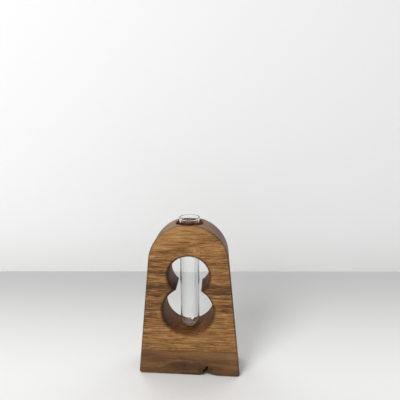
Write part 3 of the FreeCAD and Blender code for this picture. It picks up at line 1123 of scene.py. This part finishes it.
@dataclass(frozen=True)
class Noise:
    """Uneven tone or movement in the wood.

    Args:
        stretch: Its features per millimetre along X, Y and Z, or along a distance.
        detail: How many finer layers lie on it.
        weight: How much it counts in the wood's tone.
        reach: How far it moves the grain along X, Y and Z, in millimetres.
    """

    stretch: Triple | float
    detail: float
    weight: float = 0.0
    reach: Triple = (0.0, 0.0, 0.0)

    def outputs(self, graph: Graph, place: Socket) -> tuple[Socket, Socket]:
        """Its tone around a half, and the same as a vector of three separate tones.

        Args:
            graph: The finish's nodes.
            place: A place, or a distance, in millimetres.

        Returns:
            The tone and the vector.
        """
        flat = isinstance(self.stretch, float)
        made = graph.node("ShaderNodeTexNoise", noise_dimensions="1D" if flat else "3D")
        scaled = (graph.math if flat else graph.vector)("MULTIPLY", place, self.stretch)
        graph.feed(made.inputs["W" if flat else "Vector"], scaled)
        made.inputs["Scale"].default_value = 1.0
        made.inputs["Detail"].default_value = self.detail
        return made.outputs[0], made.outputs[1]


@dataclass(frozen=True)
class Polish:
    """The oiled surface of a wood.

    Args:
        roughness: Roughness in the darkest fibres.
        fibre_roughness: How much rougher the palest fibres are.
        bare_roughness: How much rougher bare places are, such as end grain.
        shine: Level of the mirror reflection.
        weights: Weights of fibres, pores and rings in the relief.
        relief: Strength of the relief.
        depth: Depth of the relief, in metres.
    """

    roughness: float
    fibre_roughness: float
    bare_roughness: float
    shine: float
    weights: Triple
    relief: float
    depth: float

    def material(self, graph: Graph, colour: Socket, grain: tuple[Socket, ...],
                 bare: Socket) -> bpy.types.Material:
        """Ends a wood's graph.

        Args:
            graph: The finish's nodes.
            colour: The wood's colour.
            grain: Tones of fibres, pores and rings.
            bare: How bare each place is, from 0 to 1.

        Returns:
            The material.
        """
        rough = graph.math("MULTIPLY_ADD", grain[0], self.fibre_roughness, self.roughness)
        rough = graph.math("MULTIPLY_ADD", bare, self.bare_roughness, rough)
        bump = graph.node("ShaderNodeBump", self.relief, self.depth)
        graph.feed(bump.inputs["Height"], graph.blended(tuple(zip(grain, self.weights))))
        return graph.surface(Base_Color=colour, Roughness=rough, Specular_IOR_Level=self.shine,
                             Normal=bump.outputs[0])


@dataclass(frozen=True)
class WoodFinish:
    """What the two oiled woods share: waving grain in five tones, streaks on the front, and a satin surface.

    Args:
        stops: Colours from the darkest grain to the palest.
        dark: Colour of dark streaks.
        red: Colour of reddish streaks.
        pale: Colour of pale streaks.
        end_grain: Colour that end grain is multiplied by.
        ends: How far a place faces along X where end grain begins and where it is full.
        bend: The slow wave of the grain.
        sway: The quicker wave on it.
        streak_sway: How far the quicker wave moves the streaks along X, Y and Z, in millimetres.
        rings: The growth rings.
        seasons: Broader changes from ring to ring.
        fibres: The fibres.
        pores: The pores.
        clouds: Wide, soft changes.
        polish: The surface.
        streaks: The streaks that stand out on the front; the walnut's also hold painted shade along its foot
            and a painted highlight on its lower left edge.
    """

    stops: tuple[tuple[float, Colour], ...]
    dark: Colour
    red: Colour
    pale: Colour
    end_grain: Colour
    ends: tuple[float, float]
    bend: Noise
    sway: Noise
    streak_sway: Triple
    rings: Noise
    seasons: Noise
    fibres: Noise
    pores: Noise
    clouds: Noise
    polish: Polish
    streaks: tuple[Streak, ...]

    # Where the front's streaks begin and are full, along Y
    FRONT = (6.0, -14.0)

    def moved(self, graph: Graph, place: Socket) -> tuple[Socket, Socket]:
        """Moves places by the waves.

        Args:
            graph: The finish's nodes.
            place: The piece's own coordinates, in millimetres.

        Returns:
            Places moved by both waves, for the grain, and by the quicker one alone, for the streaks.
        """
        bend, sway = (noise.outputs(graph, place)[1] for noise in (self.bend, self.sway))
        bent = graph.shifted(place, bend, self.bend.reach)
        return graph.shifted(bent, sway, self.sway.reach), graph.shifted(place, sway, self.streak_sway)

    def tones(self, graph: Graph, reach: Socket, grain: Socket,
              wide: Socket) -> tuple[Socket, tuple[Socket, ...]]:
        """Tones of the wood, all around a half.

        Args:
            graph: The finish's nodes.
            reach: The distance along which the rings are stacked.
            grain: Where fibres and pores are read.
            wide: Where the clouds are read.

        Returns:
            The whole tone; and the tones of fibres, pores and rings.
        """
        kinds = (self.rings, self.seasons, self.fibres, self.pores, self.clouds)
        places = (reach, reach, grain, grain, wide)
        parts = [kind.outputs(graph, place)[0] for kind, place in zip(kinds, places)]
        whole = graph.blended(tuple((part, kind.weight) for part, kind in zip(parts, kinds)))
        rings, _, fibres, pores, _ = parts
        return whole, (fibres, pores, rings)

    def streaked(self, graph: Graph, colour: Socket, across: Socket, up: Socket, share: Socket) -> Socket:
        """Paints the streaks, one over the other.

        Args:
            graph: The finish's nodes.
            colour: The wood's colour.
            across: Place along X.
            up: Place along Z.
            share: How much of the streaks shows.

        Returns:
            The colour with its streaks.
        """
        for streak in self.streaks:
            mask = graph.math("MULTIPLY", streak.mask(graph, across, up), share)
            colour = graph.mix(mask, colour, getattr(self, streak.tone.value))
        return colour


@dataclass(frozen=True)
class OakFinish(WoodFinish):
    """Oiled oak whose grain runs along X, satin, rougher on end grain and inside the window, with painted
    shade on the window's wall and rims.

    The growth rings are round the pith, which lay behind and above the board: so the front shows wide figures
    at the top and narrow lines below, and the ends show arcs. Fibres and pores run along X.

    Args:
        flame: Colour of the orange streak near the top.
        pith: Where the tree's pith lay, as distances along Y and Z.
        inside: Colour that the window's wall is multiplied by: painted shade inside the window.
        rim: Colour that the rolled rims are multiplied by: painted shade where the rims turn into the window.
        bore: Colour that the bore's wall is multiplied by.
        side: Colour that the sides and the dome are multiplied by: darker and greyer, partly their own tone
            and partly painted sheen and shade.
        glue: Colour that the seam to the strip is multiplied by.
        lively: How much the grain's contrast grows in a dark band, and shrinks in a pale one.
        calm: How much of its contrast the grain loses where it ends.
        ruddy: The uneven red tinge.
        ruddy_share: Its strength.
        bands: Broad bands of darker or paler wood, right through the block.
    """

    stops: tuple[tuple[float, Colour], ...] = (
        (0.20, shade(82, 50, 22)),
        (0.39, shade(118, 79, 38)),
        (0.51, shade(141, 99, 52)),
        (0.63, shade(160, 117, 67)),
        (0.82, shade(184, 144, 94)),
    )
    dark: Colour = shade(84, 52, 25)
    red: Colour = shade(132, 74, 40)
    pale: Colour = shade(186, 142, 92)
    end_grain: Colour = shade(206, 206, 212)
    ends: tuple[float, float] = (0.4, 1.0)
    bend: Noise = Noise((0.012, 0.015, 0.016), 1.0, reach=(0, 12.0, 7.0))
    sway: Noise = Noise((0.07, 0.07, 0.09), 2.0, reach=(0, 1.2, 1.2))
    streak_sway: Triple = (4.0, 0, 2.4)
    rings: Noise = Noise(0.8, 2.0, 0.46)
    seasons: Noise = Noise(0.085, 1.0, 0.20)
    fibres: Noise = Noise((0.055, 0.42, 0.54), 3.0, 1.00)
    pores: Noise = Noise((0.22, 1.3, 1.7), 1.0, 0.46)
    clouds: Noise = Noise((0.05, 0.2, 0.26), 1.0, 0.20)
    polish: Polish = Polish(0.33, 0.3, 0.22, 0.28, (0.6, 0.5, 0.3), 0.6, 0.00012)
    streaks: tuple[Streak, ...] = make_streaks(
        (-36, -1, 181.3, 0.9, DARK, 0.6),
        (-34, -6, 184.2, 1.3, PALE, 0.35),
        (-16, 8, 202.6, 1.7, FLAME, 0.8),
        (-10, 10, 199.6, 1.1, DARK, 0.7),
        (8, 28, 193.4, 1.3, DARK, 0.5, -2.6),
        (18, 34, 190.2, 1.4, DARK, 0.45, -1.2),
        (14, 38, 186.4, 1.2, DARK, 0.4, -1.4),
        (-52, -29, 154.2, 1.5, DARK, 0.7, 0.9),
        (-44, -27, 158.8, 1.1, DARK, 0.45, -1.4),
        (-52, -37, 170.4, 0.9, RED, 0.6),
        (33, 40, 180.4, 0.8, DARK, 0.5),
        (30, 48, 146.2, 1.4, DARK, 0.4, 0.8),
        (31, 50, 139.6, 1.4, DARK, 0.45, -0.8),
        (-56, -25, 127.6, 1.5, DARK, 0.5, -0.5),
        (-54, -24, 122.8, 1.7, RED, 0.6),
        (-56, -23, 118.3, 0.8, PALE, 0.5),
        (-54, -30, 115.6, 1, DARK, 0.45),
        (-55, -34, 108.2, 0.9, RED, 0.6),
        (-56, -36, 103.4, 0.8, DARK, 0.4),
        (-58, -35, 86.3, 1.3, DARK, 0.6),
        (20, 56, 128.8, 1.3, DARK, 0.75, -1),
        (22, 56, 121.4, 2, DARK, 0.6, -0.6),
        (24, 56, 124.9, 1.1, RED, 0.5, -0.6),
        (26, 57, 116.6, 0.9, PALE, 0.6, -0.4),
        (28, 58, 112.8, 1.5, DARK, 0.6, -0.6),
        (32, 58, 102.8, 0.9, DARK, 0.45),
        (-28, -18, 57.3, 0.7, DARK, 0.8),
        (-60, -51, 54, 0.8, DARK, 0.6),
        (-60, -46, 43.4, 0.7, DARK, 0.5),
    )
    flame: Colour = shade(198, 128, 80)
    pith: tuple[float, float] = (40.0, 262.0)
    inside: Colour = shade(186, 166, 124)
    rim: Colour = shade(196, 182, 160)
    bore: Colour = shade(220, 192, 176)
    side: Colour = shade(194, 196, 208)
    glue: Colour = shade(176, 160, 150)
    lively: float = 2.9
    calm: float = 0.45
    ruddy: Noise = Noise((0.02, 0.07, 0.12), 1.0)
    ruddy_share: float = 0.3
    bands: tuple[Streak, ...] = make_streaks(
        (-95, 60, 207, 27, PALE, 0.17),
        (8, 80, 191, 15, DARK, 0.11, -3),
        (-26, 27, 196.5, 4.5, DARK, 0.12),
        (-68, -6, 182, 8, PALE, 0.14),
        (14, 52, 181.5, 8, PALE, 0.11),
        (10, 46, 175, 6, PALE, 0.05),
        (-60, -26, 127, 22, DARK, 0.05),
        (28, 54, 96, 12, DARK, 0.05),
        (12, 84, 56.5, 6.5, PALE, 0.06),
        (-95, 15, 121, 12, DARK, 0.29),
        (-5, 95, 120.5, 12.5, DARK, 0.26),
        (-95, -5, 150, 15, DARK, 0.11),
        (-76, -44, 90, 26, DARK, 0.07),
        (10, 95, 144, 10, DARK, 0.04),
        (-95, -10, 96, 16, DARK, 0.07),
        (10, 95, 98, 12, DARK, 0.05),
        (-95, 95, 60, 16, PALE, 0.03),
        (-90, 10, 44, 7, DARK, 0.05),
    )

    # Where the painted shade on wall and rims and the sides' tint begin and are full, in values of the
    # window's and the side's trait
    SHADED_WALL = (0.35, 1.0)
    RIM_IN, RIM_OUT = (0.0, 0.5), (1.0, 0.7)
    SIDE = (0.0, 0.8)
    # The same for the seam's height, for the red tinge and for the fibres that take up a streak
    SEAM = (37.7, 37.1)
    RUDDY = (0.48, 0.70)
    STREAKED = (0.28, 0.55)

    def banded(self, graph: Graph, tone: Socket, across: Socket, up: Socket) -> Socket:
        """Makes the tone darker and livelier, or paler and calmer, in the broad bands.

        Args:
            graph: The finish's nodes.
            tone: The wood's tone.
            across: Place along X.
            up: Place along Z.

        Returns:
            The changed tone.
        """
        for broad in self.bands:
            change = graph.math("MULTIPLY_ADD", tone, -self.lively, 1 + self.lively / 2)
            change = graph.math("MULTIPLY", change, broad.mask(graph, across, up))
            tone = graph.math("SUBTRACT" if broad.tone is DARK else "ADD", tone, change)
        return tone

    def material(self) -> bpy.types.Material:
        """Builds the finish.

        Returns:
            The material.
        """
        graph = Graph(bpy.data.materials.new("oiled_oak"))
        place = graph.millimetres()
        grain, shifted = self.moved(graph, place)
        apart = graph.vector("SUBTRACT", grain, (0.0, *self.pith))
        across_rings = graph.vector("MULTIPLY", apart, (0, 1, 1))
        reach = graph.node("ShaderNodeVectorMath", across_rings, operation="LENGTH").outputs["Value"]
        tone, parts = self.tones(graph, reach, grain, grain)
        across, deep, up = graph.node("ShaderNodeSeparateXYZ", shifted).outputs
        tone = self.banded(graph, tone, across, up)
        ends = graph.band(graph.trait("end_grain"), *self.ends)
        kept = graph.math("MULTIPLY_ADD", ends, -self.calm, 1.0)
        tone = graph.math("MULTIPLY_ADD", graph.math("SUBTRACT", tone, 0.5), kept, 0.5)
        ruddy = graph.band(self.ruddy.outputs(graph, grain)[0], *self.RUDDY)
        ruddy = graph.math("MULTIPLY", ruddy, self.ruddy_share)
        colour = graph.mix(ruddy, graph.ramp(tone, self.stops), self.red, "SOFT_LIGHT")
        share = graph.math("MULTIPLY", graph.band(deep, *self.FRONT), graph.band(parts[0], *self.STREAKED))
        colour = self.streaked(graph, colour, across, up, share)
        window, bore, side = (graph.trait(name) for name in ("window", "bore", "side"))
        # Painted shade on the window's wall and the inner part of the rims, but not on the bore's wall
        inside = graph.math("SUBTRACT", graph.band(window, *self.SHADED_WALL), bore, clamp=True)
        # Painted shade on the rolled rims, strongest midway round them
        rim = graph.math("MULTIPLY", graph.band(window, *self.RIM_IN), graph.band(window, *self.RIM_OUT))
        height = graph.node("ShaderNodeSeparateXYZ", place).outputs[2]
        # Multiplied in turn: painted shade on the window's wall and rims, the bore's tint, the sides' darker
        # greyer tone with painted sheen and shade, end grain, and the dark glue line
        for where, tint in ((inside, self.inside), (rim, self.rim), (bore, self.bore),
                            (graph.band(side, *self.SIDE), self.side), (ends, self.end_grain),
                            (graph.band(height, *self.SEAM), self.glue)):
            colour = graph.mix(where, colour, tint, "MULTIPLY")
        return self.polish.material(graph, colour, parts, graph.math("MAXIMUM", inside, ends))


@dataclass(frozen=True)
class Knoll:
    """A place that the walnut's figure runs round, as contour lines run round a hill.

    Args:
        across: Its place along X.
        height: Its height above the table.
        rise: How far it lifts the figure.
        width: How far it reaches along X.
        depth: How far it reaches upward.
    """

    across: float
    height: float
    rise: float
    width: float
    depth: float

    def lift(self, graph: Graph, across: Socket, up: Socket) -> Socket:
        """How far the figure is lifted: rise over one plus the square of the distance.

        Args:
            graph: The finish's nodes.
            across: Place along X.
            up: Place along Z.

        Returns:
            The lift in millimetres.
        """
        beside = graph.math("DIVIDE", graph.math("SUBTRACT", across, self.across), self.width)
        above = graph.math("DIVIDE", graph.math("SUBTRACT", up, self.height), self.depth)
        square = graph.math("MULTIPLY_ADD", beside, beside, graph.math("MULTIPLY", above, above))
        return graph.math("DIVIDE", self.rise, graph.math("ADD", square, 1.0))


@dataclass(frozen=True)
class WalnutFinish(WoodFinish):
    """Oiled walnut whose figure swirls over two knots, with dark bark inside the void and the crack, and
    painted shade along its foot.

    Args:
        bark: Colour inside the void and the crack.
        knolls: The places that the figure runs round.
        slant: How much the figure sinks towards the rear.
    """

    stops: tuple[tuple[float, Colour], ...] = (
        (0.24, shade(64, 40, 22)),
        (0.41, shade(88, 58, 31)),
        (0.52, shade(104, 72, 40)),
        (0.66, shade(124, 89, 53)),
        (0.82, shade(142, 106, 68)),
    )
    dark: Colour = shade(52, 33, 20)
    red: Colour = shade(112, 66, 40)
    pale: Colour = shade(134, 101, 61)
    end_grain: Colour = shade(190, 190, 196)
    ends: tuple[float, float] = (0.3, 1.0)
    bend: Noise = Noise((0.022, 0.025, 0.03), 1.0, reach=(12.0, 10.0, 14.0))
    sway: Noise = Noise((0.08, 0.09, 0.12), 1.0, reach=(3.0, 2.0, 3.6))
    streak_sway: Triple = (5.0, 0, 3.5)
    rings: Noise = Noise(0.30, 2.0, 0.36)
    seasons: Noise = Noise(0.07, 0.0, 0.30)
    fibres: Noise = Noise((0.06, 0.5, 0.6), 2.0, 0.28)
    pores: Noise = Noise((0.16, 1.5, 1.7), 1.0, 0.25)
    clouds: Noise = Noise((0.03, 0.04, 0.06), 1.0, 0.40)
    polish: Polish = Polish(0.34, 0.3, 0.18, 0.22, (0.5, 0.6, 0.2), 0.5, 0.0001)
    streaks: tuple[Streak, ...] = make_streaks(
        (-90, 0, 31, 8, RED, 0.30),
        (-30, 90, 32, 9, PALE, 0.36),
        (-86, -36, 31.5, 8, DARK, 0.30),
        (-70, -22, 7, 6, PALE, 0.16),
        (-40, 30, 11, 8, DARK, 0.35, -2),
        (-20, -8, 21, 3.4, PALE, 0.30, -1),
        (-30, -17, 17.6, 3, DARK, 0.35, 2),
        (-11, -2, 15.2, 2.8, DARK, 0.60),
        (2, 20, 17.2, 2.3, DARK, 0.60, -1.4),
        (24, 34, 14, 2.8, RED, 0.35),
        (19, 34, 9.6, 5.4, DARK, 0.76),
        (10, 22, 8.4, 5.4, DARK, 0.62),
        (9, 33, 17, 4.6, DARK, 0.42),
        (0, 52, 8, 10, DARK, 0.34),
        # These three darken the strip's foot and its lower edge left of the void: painted shade
        (4, 18, 1.2, 2.8, DARK, 0.75),
        (-45, 115, 0, 7.5, DARK, 0.45),
        (-16, 17, 2.6, 3.4, DARK, 0.7),
        # A painted highlight on the rounded lower left edge
        (-62, -34, 3, 0.9, PALE, 0.4, 0.7),
        (-48, -28, 20.5, 1.8, DARK, 0.30, 1.6),
    )
    bark: Colour = shade(56, 33, 25)
    knolls: tuple[Knoll, ...] = (
        Knoll(24.0, 2.0, 17.0, 19.0, 12.0),
        Knoll(-10.0, 17.0, 11.0, 15.0, 8.0),
    )
    slant: float = 0.35

    # How deep a place is pressed in where the bark begins and is full, as a share of the crack's depth
    BARK = (0.03, 0.45)

    def material(self) -> bpy.types.Material:
        """Builds the finish.

        Returns:
            The material.
        """
        graph = Graph(bpy.data.materials.new("oiled_walnut"))
        place = graph.millimetres()
        figure, shifted = self.moved(graph, place)
        across, deep, up = graph.node("ShaderNodeSeparateXYZ", figure).outputs
        level = graph.math("MULTIPLY_ADD", deep, self.slant, up)
        for knoll in self.knolls:
            level = graph.math("SUBTRACT", level, knoll.lift(graph, across, up))
        tone, parts = self.tones(graph, level, figure, place)
        across, deep, up = graph.node("ShaderNodeSeparateXYZ", shifted).outputs
        front = graph.band(deep, *self.FRONT)
        colour = self.streaked(graph, graph.ramp(tone, self.stops), across, up, front)
        colour = graph.mix(graph.band(graph.trait("hollow"), *self.BARK), colour, self.bark)
        ends = graph.band(graph.trait("end_grain"), *self.ends)
        colour = graph.mix(ends, colour, self.end_grain, "MULTIPLY")
        return self.polish.material(graph, colour, parts, ends)


@dataclass(frozen=True)
class GlassFinish:
    """Clear laboratory glass.

    Args:
        colour: Tint of the glass.
        bend: Index of refraction.
        roughness: Roughness of the polished surface.
    """

    colour: Colour = (0.985, 0.995, 0.99)
    bend: float = 1.47
    roughness: float = 0.0

    def material(self) -> bpy.types.Material:
        """Builds the finish."""
        graph = Graph(bpy.data.materials.new("clear_glass"))
        return graph.surface(Base_Color=self.colour, Roughness=self.roughness, IOR=self.bend,
                             Transmission_Weight=1.0)


@dataclass(frozen=True)
class Lamp:
    """A square soft lamp that looks at the vase.

    Args:
        name: Its name.
        place: Where it hangs, in metres.
        size: Length of its side, in metres.
        power: Its power in watts.
    """

    name: str
    place: Triple
    size: float
    power: float

    # The middle of the vase
    TARGET = (0.0, 0.0, 0.1)

    def build(self) -> None:
        """Hangs the lamp and turns it to the middle of the vase."""
        light = bpy.data.lights.new(self.name, "AREA")
        light.energy = self.power
        light.size = self.size
        lamp = bpy.data.objects.new(self.name, light)
        lamp.location = self.place
        lamp.rotation_euler = (Vector(self.TARGET) - lamp.location).to_track_quat("-Z", "Y").to_euler()
        bpy.context.scene.collection.objects.link(lamp)


@dataclass(frozen=True)
class Studio:
    """A pale table, a pale wall behind it, soft lamps and the camera.

    Args:
        wall_place: Distance of the wall behind the vase's middle, in metres.
        reach: How far table and wall go on, in metres.
        camera_place: Where the camera stands, in metres.
        pitch: How far it looks down, in degrees.
        yaw: How far it looks to the left, in degrees.
        roll: How far it is tipped, in degrees.
        lens: Focal length in millimetres, on Blender's own sensor width.
        sky: Strength of the even light from all round.
        haze: Strength of the surroundings where they are seen: directly, mirrored or through the glass.
        table_falloff_tones: Colours of the table near the camera and at the wall; the darker far end is
            painted light falloff.
        table_start: Distance behind the vase's middle where the table's colour starts to change, in metres.
        wall_tones: Colours of the wall's foot and of the wall above it.
        wall_end: Height where the wall's colour no longer changes, in metres.
        lamps: The soft lamps.
    """

    wall_place: float = 0.2925
    reach: float = 3.0
    camera_place: Triple = (0.03434, -0.35909, 0.31016)
    pitch: float = 12.064
    yaw: float = 3.398
    roll: float = 0.059
    lens: float = 27.063
    sky: float = 0.47
    haze: float = 0.8
    table_falloff_tones: tuple[Colour, Colour] = (shade(240, 240, 238), shade(190, 191, 190))
    table_start: float = -0.06
    wall_tones: tuple[Colour, Colour] = (shade(240, 240, 239), shade(242, 243, 243))
    wall_end: float = 0.12
    lamps: tuple[Lamp, ...] = (
        Lamp("key", (-1.4, -1.9, 2.1), 1.3, 57.0),
        Lamp("side", (1.2, 1.0, 0.3), 1.2, 11.0),
        Lamp("back", (-1.0, 1.0, 1.0), 1.4, 7.0),
    )

    PAINT_ROUGHNESS = 0.9
    PAINT_SHINE = 0.1
    CLIP_START = 0.01

    def sheet(self, name: str, edge: tuple[Array, Array], way: Array,
              material: bpy.types.Material) -> bpy.types.Object:
        """A flat sheet of the set.

        Args:
            name: The sheet's name.
            edge: Both ends of its first edge, in metres.
            way: From there to the edge across from it.
            material: Its paint.

        Returns:
            The sheet, marked as part of the stage.
        """
        left, right = edge
        corners = np.array([left, right, right + way, left + way])
        mesh = bpy.data.meshes.new(name)
        mesh.from_pydata(corners.tolist(), [], [(0, 1, 2, 3)])
        mesh.materials.append(material)
        sheet = bpy.data.objects.new(name, mesh)
        bpy.context.scene.collection.objects.link(sheet)
        return sheet

    def paint(self, name: str, tones: tuple[Colour, Colour], along: Triple,
              span: tuple[float, float]) -> bpy.types.Material:
        """Matt paint whose tone changes softly along one way of the sheet.

        Args:
            name: The paint's name.
            tones: Colours at the start and at the end.
            along: The way, as a direction.
            span: Where the change starts and ends, in metres.

        Returns:
            The material.
        """
        graph = Graph(bpy.data.materials.new(name))
        place = graph.node("ShaderNodeTexCoord").outputs["Object"]
        far = graph.node("ShaderNodeVectorMath", place, along, operation="DOT_PRODUCT").outputs["Value"]
        colour = graph.mix(graph.band(far, *span), *tones)
        return graph.surface(Base_Color=colour, Roughness=self.PAINT_ROUGHNESS,
                             Specular_IOR_Level=self.PAINT_SHINE)

    def build(self) -> None:
        """Sets table, wall, lamps, surroundings and camera. The wall is square to the camera's heading."""
        turn = math.radians(self.yaw)
        ahead = np.array([-math.sin(turn), math.cos(turn), 0.0])
        across = np.array([math.cos(turn), math.sin(turn), 0.0]) * self.reach
        upward = np.array([0.0, 0.0, 1.0])
        foot = np.array([0.0, self.wall_place, 0.0])
        depth = ahead * 2 * self.reach
        near = foot - depth
        # The table's paint darkens towards the wall: painted light falloff.
        table_painted_falloff = self.paint("table_painted_falloff", self.table_falloff_tones, tuple(ahead),
                                 (self.table_start, self.wall_place))
        wall_paint = self.paint("wall_paint", self.wall_tones, tuple(upward), (0.0, self.wall_end))
        self.sheet("table", (near - across, near + across), depth, table_painted_falloff)
        wall = self.sheet("wall", (foot - across, foot + across), upward * self.reach, wall_paint)
        # The lamp behind the wall reaches the vase's rear
        wall.visible_shadow = False
        wall.visible_diffuse = False
        for lamp in self.lamps:
            lamp.build()
        self.surroundings()
        self.camera()

    def surroundings(self) -> None:
        """Even pale light from all round, paler where it is seen than where it lights."""
        graph = Graph(bpy.data.worlds.new("room"))
        path = graph.node("ShaderNodeLightPath").outputs
        seen = path["Is Camera Ray"]
        for name in ("Is Glossy Ray", "Is Transmission Ray"):
            seen = graph.math("MAXIMUM", seen, path[name])
        strength = graph.math("MULTIPLY_ADD", seen, self.haze - self.sky, self.sky)
        background = graph.node("ShaderNodeBackground", (1.0, 1.0, 1.0), strength)
        graph.node("ShaderNodeOutputWorld", background.outputs[0])
        bpy.context.scene.world = graph.owner

    def camera(self) -> None:
        """Sets the camera at the photograph's viewing angle."""
        pitch, yaw = math.radians(self.pitch), math.radians(-self.yaw)
        ahead = Vector((math.sin(yaw) * math.cos(pitch), math.cos(yaw) * math.cos(pitch), -math.sin(pitch)))
        across = Vector((math.cos(yaw), -math.sin(yaw), 0.0))
        across.rotate(Matrix.Rotation(math.radians(-self.roll), 3, ahead))
        up = across.cross(ahead)
        data = bpy.data.cameras.new("camera")
        data.lens = self.lens
        data.clip_start = self.CLIP_START
        camera = bpy.data.objects.new("camera", data)
        turn = Matrix((across, up, -ahead)).transposed()
        camera.matrix_world = Matrix.Translation(self.camera_place) @ turn.to_4x4()
        bpy.context.scene.collection.objects.link(camera)
        bpy.context.scene.camera = camera


def main() -> None:
    """Builds the vase piece by piece and sets it in its studio."""
    logging.basicConfig(level=logging.INFO, format="%(name)s %(message)s")
    view = bpy.context.scene.view_settings
    view.view_transform = "Standard"
    shape = StandShape.from_frame()

    block = ArchBlock(shape).build()
    block.data.materials.append(OakFinish().material())
    seat_in_frame(block, "arch_block", Body.STAND, Slot.LIGHT_WOOD)

    strip = BaseStrip(shape).build()
    strip.data.materials.append(WalnutFinish().material())
    seat_in_frame(strip, "base_strip", Body.STAND, Slot.DARK_WOOD)

    tube = TestTube.from_frame().build()
    tube.data.materials.append(GlassFinish().material())
    seat_in_frame(tube, "test_tube", Body.TUBE, Slot.CLEAR_GLASS)

    Studio().build()


if __name__ == "__main__":
    main()
